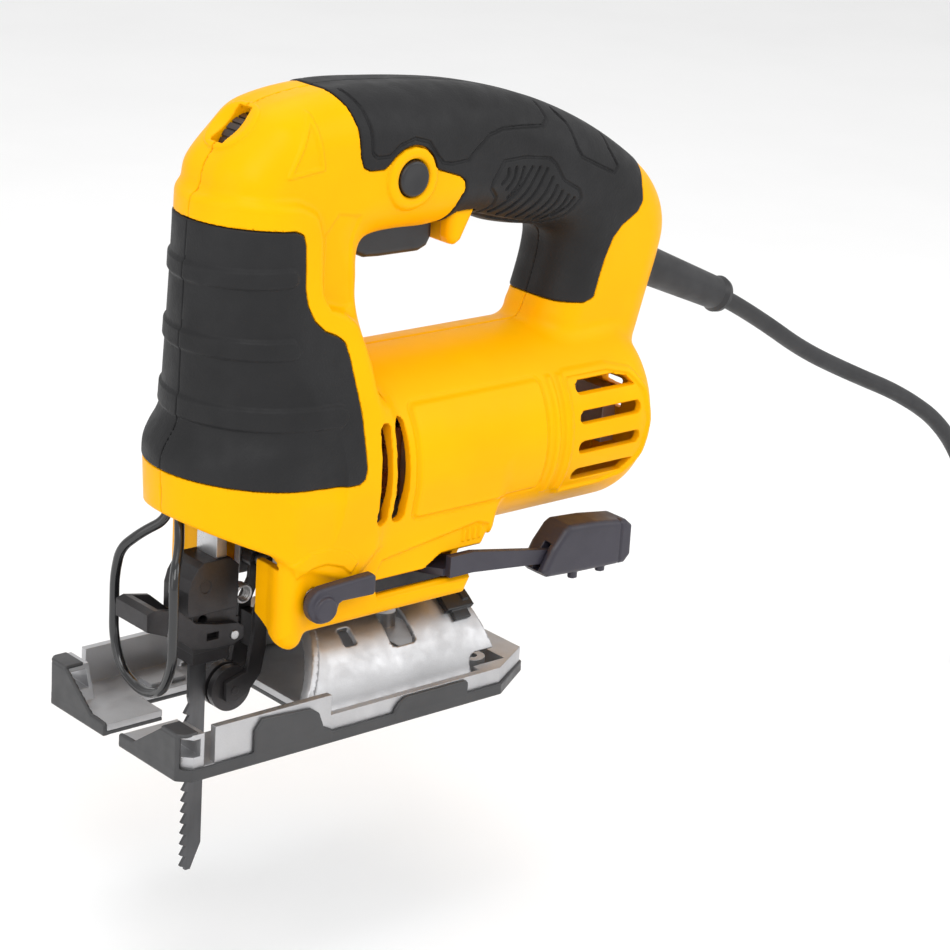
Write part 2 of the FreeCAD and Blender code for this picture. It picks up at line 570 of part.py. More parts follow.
def frame_pins():
    """Fixed steel pins of the gear, the roller arm and the trigger."""
    return Part.makeCompound([
        rod((50.6, 0, CRANK_Z), X_AXIS, 4.0, 18.4),
        rod((ROLLER_PIVOT[0], -12.2, ROLLER_PIVOT[1]), Y_AXIS, 2.0, 24.4),
        rod((TRIGGER_PIVOT[0], -9.0, TRIGGER_PIVOT[1]), Y_AXIS, 1.5, 18.0)])


def crank_gear():
    """Large gear with its hub and a balance weight opposite the crank pin."""
    teeth = gear_teeth((0, 0, CRANK_Z), GEAR_TEETH, 53.0, 60.0, 4.0 + RUN_FIT, 0.5, 0.75, 0.3)
    hub = ring((60.0, 0, CRANK_Z), X_AXIS, 8.0, 4.0 + RUN_FIT, 4.6)
    lighten = [rod((52, 13.5 * math.cos(a), CRANK_Z + 13.5 * math.sin(a)), X_AXIS, 3.6, 10)
               for a in [math.radians(d) for d in (-30, 30, 90, 150, 210)]]
    weight = ring((51.0, 0, CRANK_Z), X_AXIS, 21.0, 5.2, 2.0)
    weight = weight.cut(box(50, 54, -30, 30, CRANK_Z - 30, CRANK_Z + 3.0))
    gear = fuse([teeth, hub, weight])
    for cutter in lighten:
        gear = gear.cut(cutter)
    return gear.cut(rod((53.0, 0, PIN_Z), X_AXIS, 2.5, 7.0))


def crank_pin():
    """Eccentric pin with the roller that works in the yoke slot."""
    pin = rod((41.6, 0, PIN_Z), X_AXIS, 2.5, 17.0)
    return pin.fuse(rod((41.6, 0, PIN_Z), X_AXIS, 3.0, 8.0))


def plunger_bar():
    """Square-section reciprocating bar."""
    return box(BAR_X0, BAR_X1, -BAR_HALF, BAR_HALF, 58.0, 158.0)


def plunger_yoke():
    """Cross slot behind the bar, driven by the crank pin. It is longer than the pin in height."""
    body = box(BAR_X1, 46.6, -15.6, 15.6, PIN_Z - 8.4, PIN_Z + 8.4)
    slot = box(BAR_X1 + 1.2, 47.0, -13.6, 13.6, PIN_Z - 5.4, PIN_Z + 5.4)
    return body.cut(slot)


def guide_carrier():
    """Swinging guide: two bored blocks tied by rails, hung on its upper pivot."""
    lower = box(31.5, 44.0, -9.5, 9.5, 78.5, 88.0)
    upper = box(31.5, 44.0, -11.0, 11.0, 140.0, 152.0)
    rail = box(31.5, 35.4, 7.0, 9.5, 88.0, 140.0)
    body = fuse([lower, upper, rail, mirror_y(rail)])
    bore = box(BAR_X0 - RUN_FIT, BAR_X1 + RUN_FIT, -BAR_HALF - RUN_FIT, BAR_HALF + RUN_FIT, 70, 160)
    pin_hole = both_sides(rod((PIVOT_X, 7.0, PIVOT_Z), Y_AXIS, 2.5, 8.0))
    return body.cut(bore).cut(pin_hole)


def guide_pins():
    """Pivot pins of the guide carrier."""
    return both_sides(rod((PIVOT_X, 7.0, PIVOT_Z), Y_AXIS, 2.5, 7.1))


# ---------------------------------------------------------------- blade clamp, blade and roller


def clamp_body():
    """Blade holder under the plunger bar: hooded block, cross hole and slotted foot."""
    top = prism_y([(30.0, 58.0), (40.6, 58.0), (44.0, 55.0), (44.0, 40.0), (24.2, 40.0), (24.2, 48.5),
                   (25.4, 52.5), (28.0, 56.5)], -6.9, 6.9)
    foot = box(27.4, 44.6, -5.6, 5.6, 26.0, 40.0)
    eye = prism_y([(38.0, 36.0), (38.0, 27.6), (45.6, 27.6), (45.6, 36.0)], -5.6, 5.6)
    toe = box(28.4, 43.0, -4.4, 4.4, 21.4, 26.0)
    body = fuse([top, foot, eye, toe])
    cuts = [box(BLADE_X0 + 1.3, BLADE_X0 + BLADE_WIDTH + 0.05, -0.68, 0.68, 15, SHANK_TOP + 0.1),
            rod((31.2, -10, 49.5), Y_AXIS, 2.2, 3.4), rod((31.2, 6.6, 49.5), Y_AXIS, 2.2, 3.4),
            rod((31.0, -10, 37.4), Y_AXIS, 1.9, 20),
            rod((CLAMP_PIN[0], -12, CLAMP_PIN[1]), Y_AXIS, 1.5, 24)]
    for cutter in cuts:
        body = body.cut(cutter)
    return body


def clamp_pin():
    """Cross pin on which the blade-release lever turns."""
    return rod((CLAMP_PIN[0], -9.4, CLAMP_PIN[1]), Y_AXIS, 1.5, 18.8)


def clamp_spring():
    """Torsion spring coil beside the clamp, shown as its stacked turns."""
    turns = []
    for i in range(4):
        turns.append(Part.makeTorus(2.9, 0.5, V(47.9, -4.6 + 1.02 * i, 43.0), Y_AXIS))
    return Part.makeCompound(turns)


def clamp_lever():
    """Release lever: two side plates joined by a finger tab in front of the clamp."""
    plate = prism_y([(45.4, 29.6), (45.4, 33.6), (42.5, 35.4), (34.0, 36.6), (26.0, 38.6), (19.0, 44.6),
                     (9.8, 46.4), (7.0, 45.6), (7.0, 39.6), (14.0, 36.8), (21.0, 33.0), (25.5, 29.6),
                     (34.0, 28.2), (42.0, 28.2)], -8.9, -7.3)
    tab = prism_y([(12.2, 37.6), (12.2, 45.9), (9.8, 46.4), (7.0, 45.6), (7.0, 39.6)], -8.9, 8.9)
    lever = fuse([plate, mirror_y(plate), tab])
    lever = lever.cut(rod((CLAMP_PIN[0], -12, CLAMP_PIN[1]), Y_AXIS, 1.5 + RUN_FIT, 24))
    slot = box(30.6, 35.4, -12, 12, 31.4, 34.0)
    return lever.cut(slot)


def saw_blade():
    """Wood-cutting blade: plain shank in the clamp, teeth pointing up along its front edge."""
    root = BLADE_X0 + TOOTH_DEPTH
    back = BLADE_X0 + BLADE_WIDTH
    first = 6.0
    count = int((first - BLADE_TIP) / TOOTH_PITCH)
    outline = [(root - 0.6, SHANK_TOP), (root - 0.6, first + 2.5)]
    for i in range(count):
        z = first - TOOTH_PITCH * i
        outline += [(root, z), (BLADE_X0, z - TOOTH_PITCH + 0.9)]
    outline += [(root, first - TOOTH_PITCH * count), (root, BLADE_TIP), (root + 2.0, BLADE_TIP),
                (back, BLADE_TIP + 9.0), (back, SHANK_TOP)]
    unique = [p for i, p in enumerate(outline) if p != outline[i - 1]]
    return prism_y(unique, -BLADE_T / 2.0, BLADE_T / 2.0)


def roller_yoke():
    """Bent arm that pushes the blade forward through its roller."""
    px, pz = ROLLER_PIVOT
    cheek_path = [(px + 3.6, pz), (px + 2.6, pz + 3.2), (px - 2.6, pz + 3.2), (px - 3.6, 44.0),
                  (52.4, 36.0), (52.4, 28.0), (50.0, 15.0), (41.9, 12.6), (41.9, 5.9), (45.4, 5.1),
                  (50.0, 6.6), (55.6, 13.2), (57.4, 22.0), (57.4, 36.0)]
    cheek = prism_y(cheek_path, 3.7, 5.4)
    tie = box(53.0, 56.8, -3.7, 3.7, 22.0, 34.0)
    boss = rod((px, 3.7, pz), Y_AXIS, 3.6, 5.0)
    yoke = fuse([cheek, mirror_y(cheek), tie, boss, mirror_y(boss)])
    for cutter in (rod((px, -12, pz), Y_AXIS, 2.0 + RUN_FIT, 24),
                   rod((ROLLER_X, -12, ROLLER_Z), Y_AXIS, 1.5, 24)):
        yoke = yoke.cut(cutter)
    return yoke


def guide_roller():
    """Grooved roller that backs the blade."""
    wheel = rod((ROLLER_X, -3.3, ROLLER_Z), Y_AXIS, ROLLER_R, 6.6)
    groove = ring((ROLLER_X, -0.8, ROLLER_Z), Y_AXIS, ROLLER_R + 1, ROLLER_R - 1.6, 1.6)
    return wheel.cut(groove).cut(rod((ROLLER_X, -5, ROLLER_Z), Y_AXIS, 1.5 + RUN_FIT, 10))


def roller_axle():
    """Pin through both cheeks and the roller."""
    return rod((ROLLER_X, -5.6, ROLLER_Z), Y_AXIS, 1.5, 11.2)


# ---------------------------------------------------------------- motor


def armature_shaft():
    """Motor shaft with the pinion cut on its front end."""
    teeth = gear_teeth((0, 0, MOTOR_Z), PINION_TEETH, 52.6, 60.4, 0.5, 0.0, 0.9, 0.3)
    core = rod((52.6, 0, MOTOR_Z), X_AXIS, 1.5, 7.8)
    neck = rod((60.4, 0, MOTOR_Z), X_AXIS, 2.9, 4.6)
    shaft = rod((65.0, 0, MOTOR_Z), X_AXIS, SHAFT_R, 125.0)
    tail = rod((190.0, 0, MOTOR_Z), X_AXIS, 3.5, 7.0)
    return fuse([teeth, core, neck, shaft, tail])


def cooling_fan():
    """Radial fan with twelve blades on a backing disc."""
    disc = ring((74.6, 0, MOTOR_Z), X_AXIS, 27.0, SHAFT_R, 1.4)
    hub = ring((70.0, 0, MOTOR_Z), X_AXIS, 7.0, SHAFT_R, 4.6)
    vane = box(70.6, 74.6, -0.7, 0.7, MOTOR_Z + 12.0, MOTOR_Z + 26.6)
    vanes = []
    for i in range(12):
        one = vane.copy()
        one.rotate(V(0, 0, MOTOR_Z), X_AXIS, 30.0 * i)
        vanes.append(one)
    return fuse([disc, hub] + vanes)


def armature_core():
    """Laminated stack with winding slots."""
    stack = ring((96.0, 0, MOTOR_Z), X_AXIS, 17.0, SHAFT_R, 44.0)
    slot = box(95, 141, -1.2, 1.2, MOTOR_Z + 9.0, MOTOR_Z + 20.0)
    for i in range(12):
        one = slot.copy()
        one.rotate(V(0, 0, MOTOR_Z), X_AXIS, 30.0 * i)
        stack = stack.cut(one)
    return stack


def armature_windings():
    """Copper bundles that stand out at both ends of the stack."""
    front = ring((88.0, 0, MOTOR_Z), X_AXIS, 15.6, SHAFT_R, 8.0)
    rear = ring((140.0, 0, MOTOR_Z), X_AXIS, 15.6, SHAFT_R, 9.0)
    return Part.makeCompound([front, rear])


def commutator():
    """Copper segments parted by slits."""
    drum = ring((155.0, 0, MOTOR_Z), X_AXIS, 11.5, SHAFT_R, 16.0)
    slit = box(154, 172, -0.25, 0.25, MOTOR_Z + 10.4, MOTOR_Z + 12.0)
    for i in range(24):
        one = slit.copy()
        one.rotate(V(0, 0, MOTOR_Z), X_AXIS, 15.0 * i)
        drum = drum.cut(one)
    return drum


def stator_core():
    """Field stack: a ring with two poles round the armature."""
    outer = rod((97.0, 0, MOTOR_Z), X_AXIS, 27.5, 42.0)
    bore = rod((97.0, 0, MOTOR_Z), X_AXIS, 17.6, 42.0)
    pocket = both_sides(box(97.0, 139.0, 14.0, 22.5, MOTOR_Z - 13.5, MOTOR_Z + 13.5))
    flats = [box(97, 139, -40, 40, MOTOR_Z + s * 26.0 - (14 if s < 0 else 0),
                 MOTOR_Z + s * 26.0 + (14 if s > 0 else 0)) for s in (-1, 1)]
    core = outer.cut(bore).cut(pocket)
    for cutter in flats:
        core = core.cut(cutter)
    return core


def field_coils():
    """Copper coils in the pockets of the field stack, turned over its ends."""
    coils = []
    for side in (-1, 1):
        lo, hi = sorted((side * 18.2, side * 22.3))
        leg = box(90.0, 147.0, lo, hi, MOTOR_Z - 12.0, MOTOR_Z + 12.0)
        coils.append(leg)
    return Part.makeCompound(coils)


def brush_holders():
    """Brass boxes that guide the carbon brushes."""
    holder = box(158.5, 166.5, 14.0, 27.0, MOTOR_Z - 5.0, MOTOR_Z + 5.0)
    return both_sides(holder.cut(box(159.5, 165.5, 10.0, 26.0, MOTOR_Z - 3.5, MOTOR_Z + 3.5)))


def carbon_brushes():
    """Carbon brushes just off the commutator."""
    return both_sides(box(159.6, 165.4, 11.7, 22.0, MOTOR_Z - 3.4, MOTOR_Z + 3.4))


def bearing_bridge():
    """Rear bearing carrier, a bar across the motor housing."""
    bar = box(190.0, 196.0, -20.0, 20.0, MOTOR_Z - 10.0, MOTOR_Z + 10.0)
    return bar.cut(rod((189, 0, MOTOR_Z), X_AXIS, 8.0, 8.0))


# ---------------------------------------------------------------- controls


def trigger():
    """Long two-finger switch lever, hinged at its front end."""
    paddle = prism_y([(83.6, 166.0), (83.6, 158.0), (86.5, 153.6), (92.0, 151.6), (112.5, 151.6),
                      (116.2, 153.4), (117.9, 156.5), (117.9, 166.0)], -TRIGGER_HALF, TRIGGER_HALF)
    edges = [e for e in paddle.Edges if e.BoundBox.YLength < 1e-6 and e.BoundBox.ZMax < 159.0]
    paddle = paddle.makeFillet(2.2, edges)
    ear = box(78.0, 84.6, -5.0, 5.0, 163.4, 169.0)
    return fuse([paddle, ear]).cut(rod((TRIGGER_PIVOT[0], -10, TRIGGER_PIVOT[1]), Y_AXIS, 1.5 + RUN_FIT, 20))


def switch_body():
    """Sealed switch above the trigger with its plunger button."""
    body = box(82.0, 119.0, -10.0, 10.0, 176.2, 196.0)
    return body.fuse(rod((108.0, 0, 173.6), Z_AXIS, 3.0, 4.0))


def lock_button():
    """Lock-on button with a flange inside the shell."""
    cap = rod((BUTTON_X, -22.6, BUTTON_Z), Y_AXIS, BUTTON_R, 6.0)
    edge = [e for e in cap.Edges if abs(e.BoundBox.YMin + 22.6) < 0.01 and e.BoundBox.YLength < 0.01]
    cap = cap.makeFillet(0.9, edge)
    return cap.fuse(rod((BUTTON_X, -16.6, BUTTON_Z), Y_AXIS, 3.0, 2.6))


def speed_dial():
    """Thumb wheel with a milled rim."""
    wheel = rod((DIAL_X, -DIAL_HALF, DIAL_Z), Y_AXIS, DIAL_R, 2.0 * DIAL_HALF)
    notch = box(DIAL_X - 0.35, DIAL_X + 0.35, -5, 5, DIAL_Z + DIAL_R - 0.5, DIAL_Z + DIAL_R + 1)
    for i in range(30):
        one = notch.copy()
        one.rotate(V(DIAL_X, 0, DIAL_Z), Y_AXIS, 12.0 * i)
        wheel = wheel.cut(one)
    return wheel.cut(rod((DIAL_X, -5, DIAL_Z), Y_AXIS, 2.0 + RUN_FIT, 10))


def speed_module():
    """Electronics box behind the dial, with the dial's spindle."""
    case = box(56.0, 80.0, -13.0, 13.0, 178.5, 197.0).cut(
        rod((DIAL_X, -DIAL_HALF - 0.5, DIAL_Z), Y_AXIS, DIAL_R + 0.6, 2 * DIAL_HALF + 1.0))
    bracket = box(47.0, 60.0, DIAL_HALF + 0.6, DIAL_HALF + 3.0, 182.0, 193.0)
    spindle = rod((DIAL_X, -DIAL_HALF - 0.4, DIAL_Z), Y_AXIS, 2.0, 2.0 * DIAL_HALF + 2.0)
    return fuse([case, bracket, spindle])


def selector_knob():
    """Orbit selector: round boss with a pointer arm."""
    boss = rod((KNOB_X, -40.2, KNOB_Z), Y_AXIS, 5.4, 7.3)
    arm = prism_y([(KNOB_X, KNOB_Z - 4.6), (KNOB_X + 19.4, KNOB_Z - 0.4), (KNOB_X + 19.4, KNOB_Z + 4.4),
                   (KNOB_X, KNOB_Z + 5.0)], -38.4, -32.9)
    return fuse([boss, arm]).cut(rod((KNOB_X, -34.0, KNOB_Z), Y_AXIS, 2.5, 4.0))


def selector_cam():
    """Shaft of the selector with the cam that limits the roller arm."""
    shaft = rod((KNOB_X, -34.0, KNOB_Z), Y_AXIS, 2.5, 2.0)
    thick = rod((KNOB_X, -32.0, KNOB_Z), Y_AXIS, 4.0, 15.0)
    cam = rod((KNOB_X + 0.8, -18.0, KNOB_Z), Y_AXIS, 4.6, 3.0)
    return fuse([shaft, thick, cam])


def capacitor():
    """Interference capacitor in the rear column."""
    return box(176.0, 194.0, -8.0, 8.0, 128.0, 156.0)


def cord_clamp():
    """Screwed bar that grips the cord inside the column."""
    bar = box(200.0, 208.0, -14.0, 14.0, 132.0, 139.5)
    return bar.cut(rod(V(*EXIT).sub(EXIT_DIR * 30.0), EXIT_DIR, CORD_D / 2.0 + 0.2, 40))


def housing_screws():
    """Clamshell screws, heads sunk in the right-hand shell."""
    made = []
    for x, z in SCREW_PLACES:
        shaft = rod((x, -9.0, z), Y_AXIS, 1.9, 18.0)
        head = rod((x, 9.0, z), Y_AXIS, 3.6, 2.4)
        made.append(shaft.fuse(head).cut(rod((x, 10.4, z), Y_AXIS, 1.6, 2.0)))
    return Part.makeCompound(made)


# ---------------------------------------------------------------- wire guard


def wire_guard():
    """Bent wire finger guard in front of the blade, plugged into the nose."""
    return sweep_round(run_path(GUARD_PATH, 0.42), GUARD_WIRE_R)


def guard_socket():
    """Block in the nose that holds both ends of the wire guard."""
    block = box(21.2, 27.0, -6.4, 5.4, 77.0, 86.0)
    return block.cut(wire_guard())


# ---------------------------------------------------------------- cord


def strain_relief(tube):
    """Tapered rubber sleeve with an end flange and a root flange inside the shell."""
    start = V(*EXIT)
    profile = [(-9.0, 0), (-9.0, 9.6), (-6.2, 9.6), (-6.2, 7.1), (0.0, 7.1), (RELIEF_LENGTH - 4.0, 6.1),
               (RELIEF_LENGTH - 2.0, 6.9), (RELIEF_LENGTH, 6.4), (RELIEF_LENGTH, 0)]
    wire = Part.makePolygon([V(r, 0, s) for s, r in profile + profile[:1]])
    body = Part.Face(wire).revolve(V(0, 0, 0), Z_AXIS, 360)
    body.Placement = FreeCAD.Placement(start, FreeCAD.Rotation(Z_AXIS, EXIT_DIR))
    return body.cut(tube)


def cord_tube(report):
    """The stretch of cord that isn't coiled."""
    return sweep_round(run_path(CORD_ROUTE, 0.45, report), CORD_D / 2.0)


def plug_frame():
    """Where the plug's neck starts, and the height of the cord's tail, which lies on top of the coil."""
    return COIL_CENTRE[0] - 2.0, COIL_CENTRE[1] - TAIL_OFFSET, LOW + CORD_D * COIL_LAYERS - 0.25


def cord_coil(tube):
    """Outer shape of the put-away coil, with the tail that turns back over it to the plug."""
    cx, cy = COIL_CENTRE
    plug_x, plug_y, tail_z = plug_frame()
    body = ring((cx, cy, FLOOR_Z), Z_AXIS, COIL_OUTER_R, COIL_INNER_R, CORD_D * COIL_LAYERS)
    start_y = cy + COIL_OUTER_R - CORD_D / 2.0
    tail_r = (start_y - plug_y) / 2.0
    arc = Part.Arc(V(cx, start_y, tail_z), V(cx + tail_r, start_y - tail_r, tail_z), V(cx, plug_y, tail_z)).toShape()
    end = Part.LineSegment(V(cx, plug_y, tail_z), V(plug_x, plug_y, tail_z)).toShape()
    tail = sweep_round(Part.Wire([arc, end]), CORD_D / 2.0)
    return only_big(body.fuse(tail).cut(tube))


def plug_body():
    """Round two-pin plug lying on the coil, with a bevelled neck round the cord."""
    plug_x, plug_y, tail_z = plug_frame()
    neck = rod((plug_x, plug_y, tail_z + 1.2), V(-1, 0, 0), 4.4, PLUG_NECK)
    outline = [(plug_x - PLUG_NECK, -5.5), (plug_x - PLUG_NECK - 12.0, -13.0),
               (plug_x - PLUG_LENGTH, -PLUG_R),
               (plug_x - PLUG_LENGTH - 6.0, -PLUG_R), (plug_x - PLUG_LENGTH - 6.0, PLUG_R),
               (plug_x - PLUG_LENGTH, PLUG_R), (plug_x - PLUG_NECK - 12.0, 13.0),
               (plug_x - PLUG_NECK, 5.5)]
    shell = prism_z([(x, plug_y + y) for x, y in outline], PLUG_BASE, PLUG_BASE + PLUG_THICK)
    return shell.fuse(neck.common(box(plug_x - 60, plug_x + 1, -300, 0, PLUG_BASE, 0)))


def plug_pins():
    """Two round contact pins."""
    plug_x, plug_y, _ = plug_frame()
    x = plug_x - PLUG_LENGTH - 6.0
    z = PLUG_BASE + PLUG_THICK / 2.0
    return Part.makeCompound([rod((x, plug_y + side * PIN_SPREAD, z), V(-1, 0, 0), PIN_R, PIN_LENGTH)
                              for side in (-1, 1)])


# ---------------------------------------------------------------- build
def build():
    """Every node by name."""
    radii = []
    tube = cord_tube(radii)
    length = sum(e.Length for e in run_path(CORD_ROUTE).Edges)
    print("cord arcs, radius mm and turn deg:", ", ".join("%.0f/%.0f" % r for r in radii))
    print("cord run %.0f mm, tube volume / (section x length) = %.4f"
          % (length, tube.Volume / (math.pi * (CORD_D / 2.0) ** 2 * length)))
    parts = housing_parts()
    parts.update({
        "gearbox_case": gearbox_case(), "shaft_bearings": bearings(), "bearing_bridge": bearing_bridge(),
        "frame_pins": frame_pins(),
        "stator_core": stator_core(), "field_coils": field_coils(), "brush_holders": brush_holders(),
        "carbon_brushes": carbon_brushes(), "switch_body": switch_body(),
        "speed_module": speed_module(), "capacitor": capacitor(), "cord_clamp": cord_clamp(),
        "housing_screws": housing_screws(), "wire_guard": wire_guard(), "guard_socket": guard_socket(),
        "strain_relief": strain_relief(tube), "power_cord": tube, "cord_coil": cord_coil(tube),
        "plug_body": plug_body(), "plug_pins": plug_pins(),
        "bevel_seat": bevel_seat(), "bevel_nut": bevel_nut(), "guide_pins": guide_pins(),
        "shoe_plate": shoe_plate(), "shoe_saddle": shoe_saddle(), "shoe_cover": shoe_cover(),
        "shoe_screws": shoe_screws(), "bevel_clip": bevel_clip(),
        "bevel_screw": bevel_screw(), "bevel_lever": bevel_lever(), "bevel_lever_grip": lever_grip(),
        "crank_gear": crank_gear(), "crank_pin": crank_pin(),
        "armature_shaft": armature_shaft(), "cooling_fan": cooling_fan(), "armature_core": armature_core(),
        "armature_windings": armature_windings(), "commutator": commutator(),
        "guide_carrier": guide_carrier(), "plunger_bar": plunger_bar(), "plunger_yoke": plunger_yoke(),
        "clamp_body": clamp_body(), "clamp_pin": clamp_pin(), "clamp_spring": clamp_spring(),
        "clamp_lever": clamp_lever(), "saw_blade": saw_blade(),
        "roller_yoke": roller_yoke(), "roller_axle": roller_axle(), "guide_roller": guide_roller(),
        "trigger": trigger(), "lock_button": lock_button(), "speed_dial": speed_dial(),
        "selector_knob": selector_knob(), "selector_cam": selector_cam()})
    return parts


def main():
    """Write one file per node."""
    os.makedirs("parts", exist_ok=True)
    parts = build()
    for name, shape in parts.items():
        if not shape.isValid() or not shape.Solids:
            print("CHECK", name, shape.ShapeType, shape.isValid(), len(shape.Solids))
        shape.exportStep("parts/%s.step" % name)
    print(len(parts), "nodes")


if __name__ == "__main__":
    main()
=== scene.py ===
"""Looks of a corded top-handle jigsaw: moulded shells, rubber grips, cast shoe, cord and materials.

Lengths in the shape functions are millimetres in the row frame: +X to the rear, -Y the tool's left.
"""
import json
import math

import bpy
import numpy as np
from mathutils import Matrix, Vector


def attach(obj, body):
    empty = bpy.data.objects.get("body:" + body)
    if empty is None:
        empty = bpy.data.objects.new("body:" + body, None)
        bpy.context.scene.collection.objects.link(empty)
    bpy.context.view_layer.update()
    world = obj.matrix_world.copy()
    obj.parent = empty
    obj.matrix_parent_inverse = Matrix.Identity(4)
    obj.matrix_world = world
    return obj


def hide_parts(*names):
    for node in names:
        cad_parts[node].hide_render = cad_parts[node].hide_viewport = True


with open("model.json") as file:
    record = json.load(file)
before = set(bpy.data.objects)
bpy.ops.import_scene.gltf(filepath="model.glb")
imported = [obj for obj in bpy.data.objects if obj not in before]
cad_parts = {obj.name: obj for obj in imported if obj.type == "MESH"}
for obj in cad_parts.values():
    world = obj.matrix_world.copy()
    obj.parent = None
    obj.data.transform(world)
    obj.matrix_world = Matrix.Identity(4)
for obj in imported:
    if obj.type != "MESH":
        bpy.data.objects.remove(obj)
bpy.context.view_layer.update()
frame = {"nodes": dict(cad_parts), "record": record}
nodes = frame["nodes"]

MM = 0.001
GAP = 0.12                 # half of the line between the two clamshells
BARREL_Z, BARREL_R = 85.7, 34.4
BARREL_FRONT, BARREL_REAR = 66.0, 208.0
FLOOR_Z = -78.0
CORD_D = 6.5
EXIT = Vector((221.4, 0.0, 132.6))
EXIT_DIR = Vector((43.1, 0.0, -18.2)).normalized()
BUTTON_X, BUTTON_Z = 97.0, 181.0
DIAL_X, DIAL_Z = 50.0, 189.0
KNOB_X, KNOB_Z = 55.5, 48.5
SADDLE_R = 32.55           # middle of the saddle's sheet
TRIGGER_ROOM = ((78.5, -9.0, 140.0), (121.0, 9.0, 176.0))


# ---------------------------------------------------------------- signed-distance helpers
def smooth_min(a, b, k):
    """Union of two fields with a fillet of about k."""
    h = np.clip(0.5 + 0.5 * (b - a) / k, 0.0, 1.0)
    return b + (a - b) * h - k * h * (1.0 - h)


def smooth_max(a, b, k):
    """Intersection of two fields with a rounded edge of about k."""
    return -smooth_min(-a, -b, k)


def step(low, high, value):
    """Smooth 0 to 1 between low and high."""
    t = np.clip((value - low) / (high - low), 0.0, 1.0)
    return t * t * (3.0 - 2.0 * t)


def slab(flat, across, half, radius):
    """A flat outline's field extruded to +-half, with edges rounded by radius."""
    a = flat + radius
    b = np.abs(across) - half + radius
    return np.hypot(np.maximum(a, 0.0), np.maximum(b, 0.0)) + np.minimum(np.maximum(a, b), 0.0) - radius


def block(x, y, z, low, high, radius=0.0):
    """Rounded box between two corners."""
    parts = []
    for value, lo, hi in zip((x, y, z), low, high):
        parts.append(np.abs(value - (lo + hi) / 2.0) - (hi - lo) / 2.0 + radius)
    a, b, c = parts
    outside = np.sqrt(np.maximum(a, 0.0) ** 2 + np.maximum(b, 0.0) ** 2 + np.maximum(c, 0.0) ** 2)
    return outside + np.minimum(np.maximum(np.maximum(a, b), c), 0.0) - radius


def smooth_line(points, closed=False, fine=6):
    """Points along a Catmull-Rom curve through the given ones."""
    p = np.array(points, float)
    n = len(p)
    out = []
    for i in range(n if closed else n - 1):
        if closed:
            a, b, c, d = p[i - 1], p[i], p[(i + 1) % n], p[(i + 2) % n]
        else:
            a, b, c, d = p[max(i - 1, 0)], p[i], p[i + 1], p[min(i + 2, n - 1)]
        for j in range(fine):
            t = j / fine
            out.append(0.5 * (2 * b + (c - a) * t + (2 * a - 5 * b + 4 * c - d) * t * t
                              + (3 * b - a - 3 * c + d) * t ** 3))
    if not closed:
        out.append(p[-1])
    return np.array(out)


def profile(points):
    """A smooth function through (position, value) pairs."""
    line = smooth_line(sorted(points), fine=10)
    return lambda value: np.interp(value, line[:, 0], line[:, 1])


class FlatField:
    """Signed distance to a closed outline, or distance to an open line, in the XZ plane."""

    def __init__(self, points, closed=True, smooth=True, cell=0.5, margin=30.0):
        line = smooth_line(points, closed) if smooth else np.array(points, float)
        ends = np.roll(line, -1, 0) if closed else line[1:]
        starts = line if closed else line[:-1]
        self.low = line.min(0) - margin
        self.cell = cell
        count = np.ceil((line.max(0) + margin - self.low) / cell).astype(int) + 1
        gx = (self.low[0] + cell * np.arange(count[0]))[:, None]
        gz = (self.low[1] + cell * np.arange(count[1]))[None, :]
        best = np.full(tuple(count), 1e9)
        inside = np.zeros(tuple(count), bool)
        for (ax, az), (bx, bz) in zip(starts, ends):
            dx, dz = bx - ax, bz - az
            if dx * dx + dz * dz < 1e-12:
                continue
            t = np.clip(((gx - ax) * dx + (gz - az) * dz) / (dx * dx + dz * dz), 0.0, 1.0)
            best = np.minimum(best, (gx - ax - t * dx) ** 2 + (gz - az - t * dz) ** 2)
            if closed and abs(dz) > 1e-12:
                crosses = (az > gz) != (bz > gz)
                inside ^= crosses & (gx < dx * (gz - az) / dz + ax)
        self.table = np.where(inside, -np.sqrt(best), np.sqrt(best)).astype(np.float32)

    def __call__(self, x, z):
        u = np.clip((x - self.low[0]) / self.cell, 0, self.table.shape[0] - 1.001)
        v = np.clip((z - self.low[1]) / self.cell, 0, self.table.shape[1] - 1.001)
        u, v = np.broadcast_arrays(u, v)
        i, j = u.astype(np.int32), v.astype(np.int32)
        s, t = u - i, v - j
        g = self.table
        return (g[i, j] * (1 - s) * (1 - t) + g[i + 1, j] * s * (1 - t)
                + g[i, j + 1] * (1 - s) * t + g[i + 1, j + 1] * s * t)


CORNERS = [(i, j, k) for i in (0, 1) for j in (0, 1) for k in (0, 1)]
EDGES = [(a, b) for a in range(8) for b in range(a + 1, 8)
         if sum(p != q for p, q in zip(CORNERS[a], CORNERS[b])) == 1]


